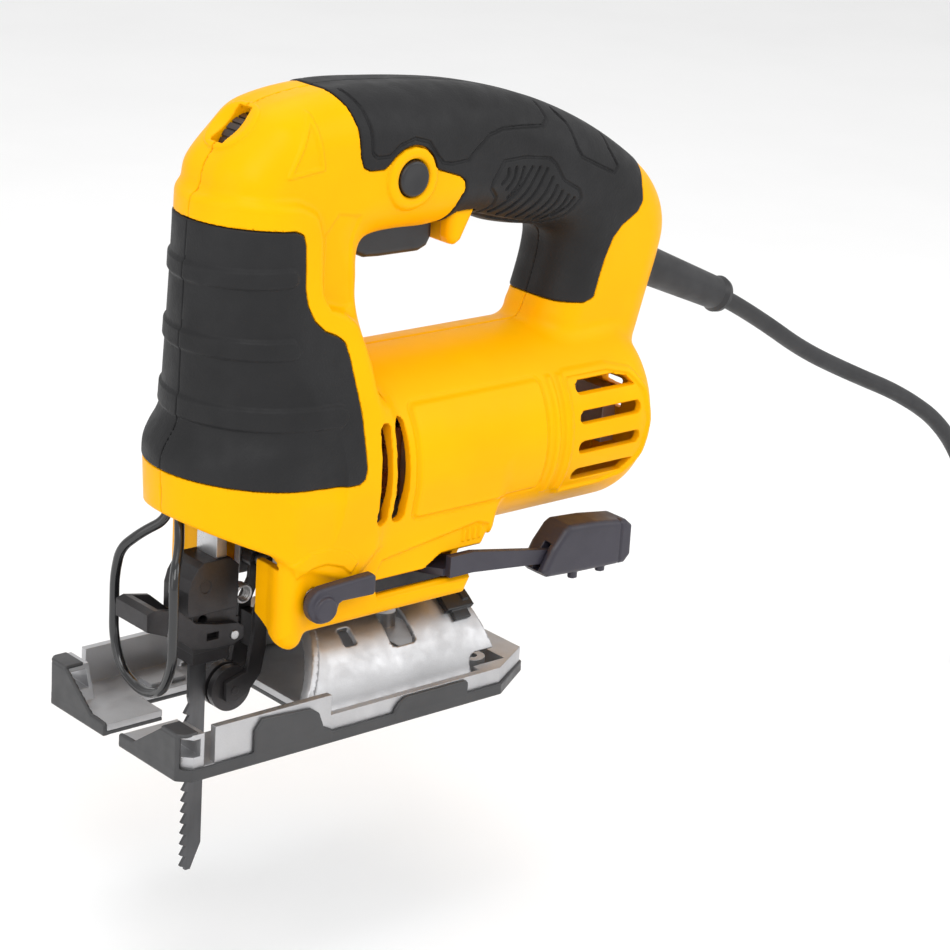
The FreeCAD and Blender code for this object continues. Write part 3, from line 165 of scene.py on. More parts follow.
def surface_net(values, low, cell):
    """Quads on the zero surface of a sampled field."""
    inside = values < 0
    shape = tuple(n - 1 for n in values.shape)
    total = np.zeros(shape, np.uint8)
    for i, j, k in CORNERS:
        total += inside[i:i + shape[0], j:j + shape[1], k:k + shape[2]]
    cells = np.argwhere((total > 0) & (total < 8))
    index = np.full(shape, -1, np.int32)
    index[tuple(cells.T)] = np.arange(len(cells))
    corner = np.stack([values[cells[:, 0] + i, cells[:, 1] + j, cells[:, 2] + k] for i, j, k in CORNERS], 1)
    total_point = np.zeros((len(cells), 3))
    hits = np.zeros(len(cells))
    for a, b in EDGES:
        fa, fb = corner[:, a], corner[:, b]
        cut = (fa < 0) != (fb < 0)
        t = np.where(cut, fa / np.where(cut, fa - fb, 1.0), 0.0)[:, None]
        pa, pb = np.array(CORNERS[a], float), np.array(CORNERS[b], float)
        total_point += np.where(cut[:, None], pa + (pb - pa) * t, 0.0)
        hits += cut
    points = (cells + total_point / hits[:, None]) * cell + np.array(low)
    quads = []
    for axis in range(3):
        u, v = [(1, 2), (2, 0), (0, 1)][axis]
        first = [slice(None)] * 3
        second = [slice(None)] * 3
        first[axis] = slice(0, -1)
        second[axis] = slice(1, None)
        change = inside[tuple(first)] != inside[tuple(second)]
        where = np.argwhere(change)
        keep = ((where[:, u] > 0) & (where[:, v] > 0) & (where[:, u] < inside.shape[u] - 1)
                & (where[:, v] < inside.shape[v] - 1))
        where = where[keep]
        ring = []
        for du, dv in ((-1, -1), (0, -1), (0, 0), (-1, 0)):
            at = where.copy()
            at[:, u] += du
            at[:, v] += dv
            ring.append(index[tuple(at.T)])
        quad = np.stack(ring, 1)
        flip = ~inside[tuple(where.T)]
        quad[flip] = quad[flip][:, ::-1]
        quads.append(quad)
    return points, np.concatenate(quads)


def gradient(field, p, reach):
    """Direction of steepest rise of a field at many points."""
    out = np.zeros_like(p)
    for axis in range(3):
        shift = np.zeros(3)
        shift[axis] = reach
        ahead, behind = p + shift, p - shift
        out[:, axis] = field(*ahead.T) - field(*behind.T)
    return out / (2.0 * reach)


def moulded(name, field, low, high, cell, keep=1.0):
    """A smooth mesh on the zero surface of field, with normals taken from the field itself."""
    axes = [np.arange(lo, hi + cell, cell) for lo, hi in zip(low, high)]
    x, y, z = axes[0][:, None, None], axes[1][None, :, None], axes[2][None, None, :]
    values = np.empty(tuple(len(a) for a in axes), np.float32)
    for start in range(0, len(axes[0]), 40):
        part = slice(start, start + 40)
        values[part] = field(x[part], y, z)
    values[[0, -1]] = np.maximum(values[[0, -1]], 0.5)
    values[:, [0, -1]] = np.maximum(values[:, [0, -1]], 0.5)
    values[:, :, [0, -1]] = np.maximum(values[:, :, [0, -1]], 0.5)
    points, quads = surface_net(values, low, cell)
    for _ in range(2):
        slope = gradient(field, points, 0.12)
        size = np.maximum((slope ** 2).sum(1), 0.25)
        move = slope * (np.clip(field(*points.T), -0.4 * cell, 0.4 * cell) / size)[:, None]
        points = points - move
    mesh = bpy.data.meshes.new(name)
    mesh.from_pydata((points * MM).tolist(), [], quads.tolist())
    mesh.validate()
    if keep < 1.0:
        mesh = thinned(mesh, keep)
    flat = np.empty(len(mesh.vertices) * 3)
    mesh.vertices.foreach_get("co", flat)
    points = flat.reshape(-1, 3) / MM
    slope = gradient(field, points, 0.3)
    slope /= np.maximum(np.linalg.norm(slope, axis=1), 1e-6)[:, None]
    mesh.shade_smooth()
    mesh.normals_split_custom_set_from_vertices(slope.tolist())
    made = bpy.data.objects.new(name, mesh)
    bpy.context.scene.collection.objects.link(made)
    return made


def thinned(mesh, keep):
    """The same mesh with fewer faces where it is nearly flat."""
    temporary = bpy.data.objects.new("thin", mesh)
    bpy.context.scene.collection.objects.link(temporary)
    modifier = temporary.modifiers.new("thin", "DECIMATE")
    modifier.ratio = keep
    graph = bpy.context.evaluated_depsgraph_get()
    done = bpy.data.meshes.new_from_object(temporary.evaluated_get(graph))
    bpy.data.objects.remove(temporary)
    return done


# ---------------------------------------------------------------- body shape
UPPER_OUTLINE = [(29.0, 172.0), (28.6, 180.0), (29.6, 187.0), (33.0, 192.4), (40.0, 199.2), (46.5, 204.8),
                 (54.0, 207.4), (66.0, 209.2), (80.0, 209.7), (96.0, 208.9), (112.0, 207.8),
                 (128.0, 205.9), (145.0, 202.5), (161.0, 198.0), (178.0, 191.2), (194.0, 183.0),
                 (209.0, 173.4), (217.0, 166.4), (222.4, 158.0), (224.6, 148.4), (223.2, 138.6),
                 (219.5, 126.7), (212.5, 105.0), (206.0, 92.0), (190.0, 86.0), (150.0, 84.0), (100.0, 84.0),
                 (64.0, 92.0), (52.0, 110.0), (40.0, 140.0), (32.0, 160.0)]
OPENING = [(85.0, 112.0), (81.4, 124.0), (79.2, 134.0), (78.0, 146.0), (78.8, 155.0), (84.0, 160.4),
           (98.0, 161.2), (112.0, 160.6), (124.0, 161.8), (133.0, 161.8), (142.0, 158.8), (152.0, 156.6),
           (162.0, 155.0), (169.6, 152.8), (172.6, 149.0), (172.0, 142.0), (169.3, 132.0), (166.6, 125.0),
           (159.0, 112.0), (120.0, 108.0)]
SKIRT_OUTLINE = [(44.0, 36.8), (121.0, 36.8), (125.8, 45.4), (133.0, 58.6), (134.5, 66.0), (134.5, 84.0),
                 (44.0, 84.0)]
NOSE_ZONE = [(0.0, 171.8), (24.0, 171.8), (36.0, 171.0), (48.6, 170.0), (51.6, 168.6), (52.6, 165.0),
             (52.6, 151.0), (53.4, 146.0), (56.0, 140.6), (60.0, 136.9), (65.0, 134.6), (67.6, 132.4),
             (69.2, 127.0), (71.8, 108.0), (73.3, 91.0), (72.6, 87.6), (70.2, 86.0), (60.0, 86.2),
             (44.0, 87.4), (30.0, 88.8), (14.0, 90.4), (0.0, 90.6)]
HANDLE_ZONE = [(64.0, 216.0), (69.6, 210.8), (72.6, 205.0), (74.4, 198.0), (75.2, 190.4), (76.6, 186.4),
               (79.4, 185.0), (85.2, 184.9), (87.4, 186.4), (89.6, 188.6), (93.0, 190.6), (97.2, 191.3),
               (101.4, 190.2), (104.4, 187.4), (106.0, 183.8), (108.6, 182.2), (118.2, 179.0), (120.6, 177.2),
               (121.0, 174.2), (119.3, 170.8), (117.5, 163.0), (116.0, 152.0), (126.0, 146.0), (141.0, 141.0),
               (145.2, 137.0), (154.2, 132.0), (170.9, 127.7), (180.6, 127.0), (185.0, 128.4), (186.6, 134.0),
               (189.0, 142.0), (191.6, 149.0), (195.2, 153.0), (202.2, 157.0), (204.6, 160.8), (205.0, 166.0),
               (209.6, 175.0), (214.0, 190.0), (150.0, 222.0)]

nose_front = profile([(60, 18.2), (75, 17.5), (84, 17.0), (90, 16.8), (95, 17.1), (99, 18.9), (103, 21.6),
                      (107, 23.1), (112, 23.4), (124, 23.5), (136, 23.7), (152, 24.1), (170, 24.6),
                      (180, 25.2)])
nose_half = profile([(60, 32.8), (75, 33.0), (90, 33.2), (97, 33.1), (104, 32.5), (112, 31.2), (120, 29.7),
                     (128, 28.2), (136, 27.0), (147, 25.8), (160, 25.0), (172, 24.5), (180, 24.2)])
loop_half = profile([(20, 20.5), (60, 21.0), (80, 21.3), (97, 21.0), (115, 19.8), (140, 18.8), (180, 18.2),
                     (205, 17.2), (230, 15.8)])

upper_flat = FlatField(UPPER_OUTLINE)
opening_flat = FlatField(OPENING)
skirt_flat = FlatField(SKIRT_OUTLINE, smooth=False)
nose_zone = FlatField(NOSE_ZONE, smooth=False)
handle_zone = FlatField(HANDLE_ZONE, smooth=False)


def loop_field(x, y, z):
    """Head, handle bow and column round the finger opening."""
    flat = smooth_max(upper_flat(x, z), -opening_flat(x, z), 2.0)
    low_neck = step(146.0, 104.0, z) * step(100.0, 84.0, x)
    column = step(135.0, 160.0, x) * step(160.0, 136.0, z)
    half = loop_half(x) + low_neck * 11.0 - column * 1.6
    tight = step(96.0, 78.0, x) * step(168.0, 150.0, z)
    radius = 15.5 - 10.0 * tight - 2.0 * column
    return slab(flat, y, half, radius)


def nose_field(x, y, z):
    """Front block, rounded in plan, with the frame round its rubber panel."""
    half = nose_half(z)
    knee = nose_front(z) + half
    plan = np.hypot(np.minimum(x - knee, 0.0), y) - half
    frame_edge = nose_zone(x, z) - 7.6
    under = (75.6 - 0.42 * (x - 17.0)) - z
    lower = np.maximum(62.0 - z, 0.0)
    zone = np.where(z > 92.0, frame_edge, np.minimum(x - 80.0, 8.0) + lower)
    return smooth_max(smooth_max(plan, zone, 2.6), under, 1.6)


def barrel_field(x, y, z):
    """Motor drum with a rounded rear end."""
    radial = np.hypot(y, z - BARREL_Z) - BARREL_R
    a, b = radial + 15.0, x - BARREL_REAR + 15.0
    drum = np.hypot(np.maximum(a, 0.0), np.maximum(b, 0.0)) + np.minimum(np.maximum(a, b), 0.0) - 15.0
    return np.maximum(drum, BARREL_FRONT - x)


def skirt_field(x, y, z):
    """Lower housing round the bevel seat, with a rounded foot at each front corner."""
    body = slab(skirt_flat(x, z), y, 32.0, 3.4)
    side = np.abs(y)
    foot = np.sqrt((x - 48.4) ** 2 + (side - 27.6) ** 2 + np.maximum(36.4 - z, 0.0) ** 2) - 5.0
    foot = smooth_max(foot, z - 66.0, 4.0)
    return smooth_min(body, foot, 2.4)


def solid_field(x, y, z):
    """The whole closed body before any opening is cut."""
    body = smooth_min(nose_field(x, y, z), barrel_field(x, y, z), 5.0)
    body = smooth_min(body, skirt_field(x, y, z), 5.0)
    return smooth_min(body, loop_field(x, y, z), 4.0)


def capsule(points, radius):
    """Field of a rounded stroke along a line in the XZ plane."""
    line = FlatField(points, closed=False, smooth=False, margin=12.0)
    return lambda x, z: line(x, z) - radius


def groove(points, half, depth, closed=True, smooth=False):
    """Height change of a rounded groove along a line in the XZ plane."""
    line = FlatField(points, closed=closed, smooth=smooth, margin=6.0)
    return lambda x, z: -depth * (1.0 - step(half * 0.35, half, np.abs(line(x, z))))


# ---------------------------------------------------------------- relief on the rubber
BANDS = [capsule([(8.0, 155.2), (30.0, 155.2), (46.2, 155.3)], 2.9),
         capsule([(8.0, 133.1), (30.0, 132.9), (46.0, 132.6)], 3.1),
         capsule([(8.0, 111.1), (24.0, 111.0), (62.0, 110.0)], 3.5)]
PEBBLE_PANEL = [(68.7, 216.0), (74.1, 210.4), (77.4, 205.3), (79.1, 198.2), (79.8, 191.0), (81.6, 189.4),
                (86.7, 189.1), (91.0, 192.4), (97.2, 194.0), (103.4, 192.2), (107.0, 187.6), (110.0, 184.6),
                (114.0, 183.8), (121.3, 184.2), (124.7, 187.4), (130.0, 191.5), (136.4, 192.9),
                (146.8, 192.4), (155.4, 191.6), (158.2, 193.2), (157.4, 199.0), (158.0, 212.0),
                (110.0, 220.0)]
REAR_PANEL = [(164.8, 214.0), (165.0, 194.7), (168.6, 190.7), (170.8, 183.1), (173.0, 179.6), (189.0, 172.3),
              (191.2, 174.2), (188.4, 180.5), (190.0, 200.0)]
GRILLE_PANEL = [(132.4, 173.5), (133.1, 175.8), (137.3, 182.1), (146.8, 182.4), (158.0, 180.9),
                (160.9, 178.6), (165.1, 172.6), (172.4, 168.6), (173.7, 165.4), (168.4, 158.4),
                (162.0, 156.4), (154.8, 157.6), (132.6, 162.8), (136.4, 166.5), (136.0, 169.8)]
GRILLE_TOPS = [(139.6, 179.0), (143.0, 179.2), (146.4, 178.9), (150.2, 178.6), (153.7, 178.1),
               (157.0, 177.2), (159.8, 174.0), (162.1, 170.9), (164.6, 168.7), (167.6, 166.9),
               (170.5, 165.7)]
GRILLE_FEET = [(137.2, 174.4), (139.6, 172.2), (141.0, 169.2), (137.4, 164.0), (141.2, 162.6),
               (145.2, 161.6), (149.6, 160.6), (154.2, 159.8), (158.0, 159.0), (161.4, 158.6),
               (164.2, 159.6)]
rubber_grooves = [groove(PEBBLE_PANEL, 0.75, 0.65), groove(REAR_PANEL, 0.75, 0.65),
                  groove(GRILLE_PANEL, 0.7, 0.6)]
for (top_x, top_z), (foot_x, foot_z) in zip(GRILLE_TOPS, GRILLE_FEET):
    bend = ((top_x + foot_x) / 2.0 + 1.0, (top_z + foot_z) / 2.0)
    rib_line = [(top_x, top_z), bend, (foot_x, foot_z)]
    rubber_grooves.append(groove(rib_line, 0.85, 0.9, closed=False, smooth=True))


def button_bore(x, z, radius):
    """Round bore of the lock button, along Y."""
    return np.hypot(x - BUTTON_X, z - BUTTON_Z) - radius


def cord_bore(x, y, z, radius):
    """Round bore that the cord's relief sits in, sloping down to the rear."""
    along = (x - EXIT.x) * EXIT_DIR.x + (z - EXIT.z) * EXIT_DIR.z
    off = (x - EXIT.x) * EXIT_DIR.z - (z - EXIT.z) * EXIT_DIR.x
    return np.maximum(np.hypot(off, y) - radius, -15.0 - along)


lip_flat = FlatField([(119.8, 168.0), (119.8, 156.6), (121.0, 154.4), (123.0, 153.8), (125.4, 155.2),
                      (131.0, 166.0)], smooth=False)


def nose_rubber(x, y, z):
    """Rubber panel wrapped round the nose, with its three finger bands."""
    height = 0.35
    for band in BANDS:
        height = height + 0.85 * (1.0 - step(-0.7, 0.7, band(x, z)))
    outer = solid_field(x, y, z) - height
    shape = smooth_max(outer, nose_zone(x, z) + 0.28, 0.8)
    return np.maximum(np.maximum(shape, -(solid_field(x, y, z) + 1.35)), y + GAP)


def handle_rubber(x, y, z):
    """Rubber over the handle bow, round its underside and down the column."""
    height = 0.35
    for cut in rubber_grooves:
        height = height + cut(x, z) * (np.abs(y) > 9.0)
    body = solid_field(x, y, z)
    shape = smooth_max(body - height, handle_zone(x, z) + 0.28, 0.8)
    shape = np.maximum(shape, -(body + 1.35))
    shape = np.maximum(shape, -button_bore(x, z, 10.8))
    shape = np.maximum(shape, -block(x, y, z, (70.0, -9.0, 140.0), TRIGGER_ROOM[1]))
    shape = np.maximum(shape, -slab(lip_flat(x, z), y, 14.7, 2.6) + 0.25)
    shape = np.maximum(shape, -cord_bore(x, y, z, 7.4))
    barrel = barrel_field(x, y, z) - 0.3
    return np.maximum(np.maximum(shape, -barrel), y + GAP)


# ---------------------------------------------------------------- clamshell
DIAL_FACE = Vector((-0.668, 0.0, 0.744))
DIAL_UP = Vector((0.744, 0.0, 0.668))
LABEL_PANEL = [(97.0, 69.6), (150.0, 69.6), (151.2, 70.8), (151.2, 105.6), (150.0, 106.8), (97.0, 106.8),
               (95.8, 105.6), (95.8, 70.8)]
REAR_FRAME = [(163.4, 65.6), (182.0, 65.6), (191.5, 68.0), (197.5, 75.0), (199.4, 86.0), (197.5, 97.0),
              (191.5, 103.6), (182.0, 106.0), (163.4, 106.0)]
TRIANGLE = [(47.8, 186.4), (60.5, 188.0), (57.6, 204.5)]
ARC_PLATE = [(47.4, 57.6), (52.6, 60.4), (59.0, 60.8), (65.6, 58.6), (69.0, 55.6), (72.0, 59.0),
             (67.4, 63.4), (59.6, 66.2), (51.6, 65.8), (44.6, 62.6)]
label_flat = FlatField(LABEL_PANEL, smooth=False)
rear_flat = FlatField(REAR_FRAME, smooth=False)
triangle_flat = FlatField(TRIANGLE, smooth=False)
arc_flat = FlatField(ARC_PLATE, smooth=False)
recess_flat = FlatField([(80.2, 49.4), (84.0, 56.2), (124.6, 62.0), (129.6, 60.4), (131.2, 55.0),
                         (127.0, 43.0), (83.0, 43.0)], smooth=False)
lever_ribs = [capsule([(x, 56.4), (x + 0.4, 60.0)], 0.55) for x in (119.2, 121.6, 124.0, 126.4)]
head_panel = FlatField([(62.6, 143.2), (70.0, 141.6), (74.6, 142.6), (73.6, 152.0), (74.0, 162.0),
                        (77.0, 171.0), (68.0, 172.6), (62.6, 166.0)], smooth=False)


def shell_relief(x, y, z, left):
    """Raised and sunk detail on the side of the clamshell."""
    on_side = step(6.0, 9.0, np.abs(y))
    height = 0.0
    edge = label_flat(x, z)
    barrel_face = step(24.0, 28.0, np.abs(y))
    height = height + barrel_face * 0.55 * (1.0 - step(-0.4, 0.4, edge))
    height = height - barrel_face * 0.5 * (1.0 - step(0.2, 0.75, np.abs(edge - 0.9)))
    for rib_x in (156.0, 160.6):
        rib = np.maximum(np.abs(x - rib_x) - 1.1, np.abs(z - 87.0) - 20.5)
        height = height + barrel_face * 0.9 * (1.0 - step(-0.5, 0.5, rib))
    border = np.abs(rear_flat(x, z) - 1.2) - 1.1
    height = height + step(10.0, 14.0, np.abs(y)) * 0.95 * (1.0 - step(-0.5, 0.5, border))
    panel = head_panel(x, z)
    height = height - on_side * 0.6 * (1.0 - step(-0.9, 0.6, panel))
    height = height + on_side * 0.55 * (1.0 - step(-0.35, 0.35, np.abs(triangle_flat(x, z)) - 0.8))
    if left:
        ring = button_bore(x, z, 8.55) / 2.15
        height = height + on_side * 1.5 * np.sqrt(np.clip(1.0 - ring * ring, 0.0, 1.0))
        side = step(26.0, 29.0, np.abs(y))
        height = height + side * 0.7 * (1.0 - step(-0.4, 0.4, arc_flat(x, z)))
        height = height - side * 1.3 * (1.0 - step(-0.8, 0.8, recess_flat(x, z)))
        for rib in lever_ribs:
            height = height + side * 0.9 * (1.0 - step(-0.4, 0.4, rib(x, z)))
    return height


lever_slot = FlatField([(82.0, 43.8), (131.5, 43.8), (131.5, 53.4), (110.0, 53.4), (103.0, 49.2),
                        (82.0, 49.2)], smooth=False)


def slots(x, y, z):
    """Cooling slots through the side of the drum."""
    side = 10.0 - np.abs(y)
    cut = np.full(np.broadcast(x, y, z).shape, 99.0)
    for slot_x, half in ((81.8, 2.5), (89.0, 2.7)):
        bow = slot_x - 0.0016 * (z - 87.0) ** 2
        flat = np.hypot(np.maximum(np.abs(z - 87.0) - 15.0, 0.0), x - bow) - half
        cut = np.minimum(cut, np.maximum(flat, side))
    for row_z in (71.0, 81.6, 92.2, 102.0):
        flat = np.hypot(np.maximum(np.maximum(169.1 - x, x - 193.0), 0.0), z - row_z) - 2.3
        flat = np.maximum(flat, rear_flat(x, z) + 1.0)
        cut = np.minimum(cut, np.maximum(flat, side))
    for row_z in (77.5, 85.5, 93.5):
        flat = np.hypot(np.maximum(np.abs(np.abs(y) - 8.0) - 4.0, 0.0), z - row_z) - 1.5
        cut = np.minimum(cut, np.maximum(flat, 199.0 - x))
    return cut


def cavity(x, y, z):
    """Hollow inside nose, skirt and drum, three millimetres under their own surfaces."""
    knee = nose_front(z) + nose_half(z)
    plan = np.hypot(np.minimum(x - knee, 0.0), y) - nose_half(z) + 3.0
    nose = np.maximum(np.maximum(plan, x - 84.0), z - 126.0)
    nose = np.minimum(nose, np.maximum(np.maximum(plan, x - 60.0), z - 148.0))
    nose = np.maximum(nose, 60.0 - z)
    hollow = np.minimum(nose, barrel_field(x, y, z) + 3.0)
    skirt = np.maximum(slab(skirt_flat(x, z), y, 32.0, 3.4) + 3.0, 20.0 - z)
    return np.minimum(hollow, skirt)


def dial_window(x, y, z):
    """Slot in the sloping head that the dial's rim shows through."""
    across = (x - DIAL_X) * DIAL_UP.x + (z - DIAL_Z) * DIAL_UP.z
    outward = (x - DIAL_X) * DIAL_FACE.x + (z - DIAL_Z) * DIAL_FACE.z
    flat = np.maximum(np.abs(across) - 7.5, np.maximum(4.0 - outward, outward - 20.0))
    return np.maximum(flat, np.abs(y) - 3.4)


def clamshell(left):
    """Field of one housing half, drawn on the left side."""
    def field(x, y, z):
        body = solid_field(x, y, z)
        shell = body - shell_relief(x, y, z, left)
        zone = np.minimum(nose_zone(x, z), handle_zone(x, z))
        shell = np.maximum(shell, -np.maximum(zone, -(body + 1.5)))
        bowl = np.sqrt((x - 30.3) ** 2 + y * y + (z - 211.0) ** 2) - 16.0
        rim = smooth_max(body - 0.9, bowl - 2.2, 1.2)
        shell = smooth_min(shell, rim, 0.8)
        shell = smooth_max(shell, -bowl, 1.0)
        shell = np.maximum(shell, -dial_window(x, y, z))
        shell = smooth_min(shell, slab(lip_flat(x, z), y, 14.5, 3.0), 0.6)
        shell = np.maximum(shell, -block(x, y, z, *TRIGGER_ROOM))
        shell = np.maximum(shell, -slots(x, y, z))
        shell = np.maximum(shell, -cavity(x, y, z))
        shell = np.maximum(shell, -block(x, y, z, (34.6, -7.0, 100.0), (41.4, 7.0, 168.0)))
        shell = np.maximum(shell, 44.4 - np.hypot(y, z))
        shell = np.maximum(shell, -block(x, y, z, (40.0, -16.0, 20.0), (54.0, 16.0, 72.0)))
        shell = np.maximum(shell, -cord_bore(x, y, z, 7.3))
        if left:
            shell = np.maximum(shell, -np.maximum(button_bore(x, z, 6.3), y + 10.4))
            shell = np.maximum(shell, -np.maximum(lever_slot(x, z), y + 20.0))
            shell = np.maximum(shell, -np.maximum(np.hypot(x - KNOB_X, z - KNOB_Z) - 4.1, y + 20.0))
        return np.maximum(shell, y + GAP)
    return field


def mirrored(name, source):
    """The other half of a piece, mirrored at the mid-plane."""
    mesh = source.data.copy()
    count = len(mesh.vertices)
    co = np.empty(count * 3)
    mesh.vertices.foreach_get("co", co)
    co = co.reshape(-1, 3)
    co[:, 1] *= -1.0
    mesh.vertices.foreach_set("co", co.ravel())
    mesh.flip_normals()
    made = bpy.data.objects.new(name, mesh)
    bpy.context.scene.collection.objects.link(made)
    return made


# ---------------------------------------------------------------- materials
def new_material(name):
    """An empty material with its node tree and main shader."""
    made = bpy.data.materials.new(name)
    made.use_nodes = True
    tree = made.node_tree
    return made, tree, tree.nodes["Principled BSDF"]


def noise_at(tree, coords, scale, detail=4.0, roughness=0.55):
    """Output of a noise texture."""
    texture = tree.nodes.new("ShaderNodeTexNoise")
    texture.inputs["Scale"].default_value = scale
    texture.inputs["Detail"].default_value = detail
    texture.inputs["Roughness"].default_value = roughness
    tree.links.new(coords, texture.inputs["Vector"])
    return texture.outputs["Fac"]


def ramp(tree, source, low, high, start=0.35, end=0.65):
    """Output of a two-colour ramp."""
    node = tree.nodes.new("ShaderNodeValToRGB")
    node.color_ramp.elements[0].position = start
    node.color_ramp.elements[1].position = end
    node.color_ramp.elements[0].color = low
    node.color_ramp.elements[1].color = high
    tree.links.new(source, node.inputs["Fac"])
    return node.outputs["Color"]


def grey(value):
    """Opaque neutral colour."""
    return (value, value, value, 1.0)


def finish_material(name, color, shade=0.12, roughness=(0.4, 0.55), metallic=0.0, grain=1800.0, bump=0.12,
                    depth=0.00008, stretch=None, edge=0.0, coat=0.0, pebble=False, specular=None):
    """Moulded, cast or rolled surface: blotches, fine grain, uneven gloss and softened edges."""
    made, tree, shader = new_material(name)
    place = tree.nodes.new("ShaderNodeTexCoord").outputs["Object"]
    coords = place
    if stretch:
        mapping = tree.nodes.new("ShaderNodeMapping")
        mapping.inputs["Scale"].default_value = stretch
        tree.links.new(place, mapping.inputs["Vector"])
        coords = mapping.outputs["Vector"]
    broad = noise_at(tree, place, 34.0, 3.0)
    low = tuple(c * (1.0 - shade) for c in color) + (1.0,)
    high = tuple(min(1.0, c * (1.0 + 0.6 * shade)) for c in color) + (1.0,)
    tint = ramp(tree, broad, low, high)
    fine = noise_at(tree, coords, grain, 2.0, 0.6)
    mix = tree.nodes.new("ShaderNodeMix")
    mix.data_type = "RGBA"
    mix.blend_type = "MULTIPLY"
    mix.inputs["Factor"].default_value = 0.5
    tree.links.new(tint, mix.inputs["A"])
    tree.links.new(ramp(tree, fine, grey(1.0 - shade), grey(1.0), 0.3, 0.7), mix.inputs["B"])
    tree.links.new(mix.outputs["Result"], shader.inputs["Base Color"])
    patch = noise_at(tree, place, 150.0, 5.0)
    tree.links.new(ramp(tree, patch, grey(roughness[0]), grey(roughness[1])), shader.inputs["Roughness"])
    shader.inputs["Metallic"].default_value = metallic
    if coat:
        shader.inputs["Coat Weight"].default_value = coat
        shader.inputs["Coat Roughness"].default_value = 0.12
    if specular is not None:
        shader.inputs["Specular IOR Level"].default_value = specular
    height = fine
    if pebble:
        cells = tree.nodes.new("ShaderNodeTexVoronoi")
        cells.feature = "SMOOTH_F1"
        cells.inputs["Scale"].default_value = 1250.0
        tree.links.new(place, cells.inputs["Vector"])
        height = cells.outputs["Distance"]
    relief = tree.nodes.new("ShaderNodeBump")
    relief.inputs["Strength"].default_value = bump
    relief.inputs["Distance"].default_value = depth
    tree.links.new(height, relief.inputs["Height"])
    if edge:
        soft = tree.nodes.new("ShaderNodeBevel")
        soft.samples = 4
        soft.inputs["Radius"].default_value = edge
        tree.links.new(soft.outputs["Normal"], relief.inputs["Normal"])
    tree.links.new(relief.outputs["Normal"], shader.inputs["Normal"])
    return made


EDGE = 0.0004
looks = {
    "housing_shell": finish_material("yellow_shell", (0.97, 0.44, 0.0), 0.04, (0.34, 0.44), grain=2600.0,
                                     bump=0.10, depth=0.00005, specular=0.07),
    "soft_grip": finish_material("grip_rubber", (0.013, 0.013, 0.014), 0.2, (0.50, 0.62), grain=3000.0,
                                 bump=0.55, depth=0.00012, pebble=True, specular=0.26),
    "black_plastic": finish_material("black_plastic", (0.016, 0.016, 0.018), 0.2, (0.30, 0.46), edge=EDGE),
    "grey_plastic": finish_material("grey_plastic", (0.040, 0.040, 0.042), 0.14, (0.38, 0.52), edge=EDGE),
    "violet_grey": finish_material("violet_grey", (0.030, 0.027, 0.040), 0.14, (0.38, 0.52), edge=EDGE),
    "dial_plastic": finish_material("dial_plastic", (0.030, 0.018, 0.014), 0.2, (0.34, 0.5), edge=0.0002),
    "die_cast": finish_material("cast_aluminium", (0.50, 0.50, 0.51), 0.10, (0.36, 0.52), 0.9, 2200.0, 0.3,
                                edge=EDGE),
    "zinc_steel": finish_material("brushed_steel", (0.60, 0.60, 0.61), 0.10, (0.26, 0.42), 0.95, 900.0, 0.22,
                                  stretch=(0.12, 1.0, 1.0), edge=EDGE),
    "dark_steel": finish_material("blackened_steel", (0.055, 0.052, 0.054), 0.25, (0.3, 0.48), 0.7, 1500.0,
                                  0.2, edge=EDGE),
    "blade_steel": finish_material("ground_steel", (0.12, 0.12, 0.125), 0.2, (0.28, 0.42), 0.9, 900.0, 0.2,
                                   stretch=(1.0, 1.0, 0.1), edge=0.0001),
    "guard_wire": finish_material("gloss_wire", (0.010, 0.010, 0.011), 0.2, (0.14, 0.24), grain=900.0,
                                  bump=0.05, coat=0.4),
    "motor_iron": finish_material("laminated_iron", (0.26, 0.26, 0.27), 0.2, (0.4, 0.6), 0.9, 900.0, 0.3,
                                  stretch=(8.0, 0.2, 0.2), edge=EDGE),
    "copper": finish_material("varnished_copper", (0.62, 0.22, 0.07), 0.25, (0.22, 0.4), 0.9, 1600.0, 0.5,
                              stretch=(0.3, 3.0, 3.0), coat=0.5),
    "brass_fittings": finish_material("brass", (0.68, 0.47, 0.16), 0.15, (0.25, 0.4), 1.0, edge=EDGE),
    "carbon": finish_material("carbon", (0.015, 0.015, 0.016), 0.3, (0.6, 0.8), grain=2500.0, bump=0.3),
    "white_plastic": finish_material("white_plastic", (0.7, 0.69, 0.64), 0.06, (0.4, 0.5), edge=EDGE),
    "cord_rubber": finish_material("cord_rubber", (0.018, 0.018, 0.020), 0.2, (0.42, 0.56), grain=2400.0,
                                   bump=0.25, depth=0.00006),
}
node_slot = {part["node"]: part["material_slot"] for part in frame["record"]["subparts"]}
node_slot.update({"guide_roller": "dark_steel", "roller_yoke": "dark_steel", "roller_axle": "dark_steel",
                  "bevel_lever": "violet_grey", "bevel_seat": "dark_steel"})
for name, node in nodes.items():
    node.data.materials.clear()
    node.data.materials.append(looks[node_slot[name]])


def dress(piece, body, slot, *replaced):
    """Give a new piece its material, its body and the CAD nodes that it stands for."""
    piece.data.materials.clear()
    piece.data.materials.append(looks[slot])
    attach(piece, body)
    if replaced:
        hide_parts(*replaced)
    return piece


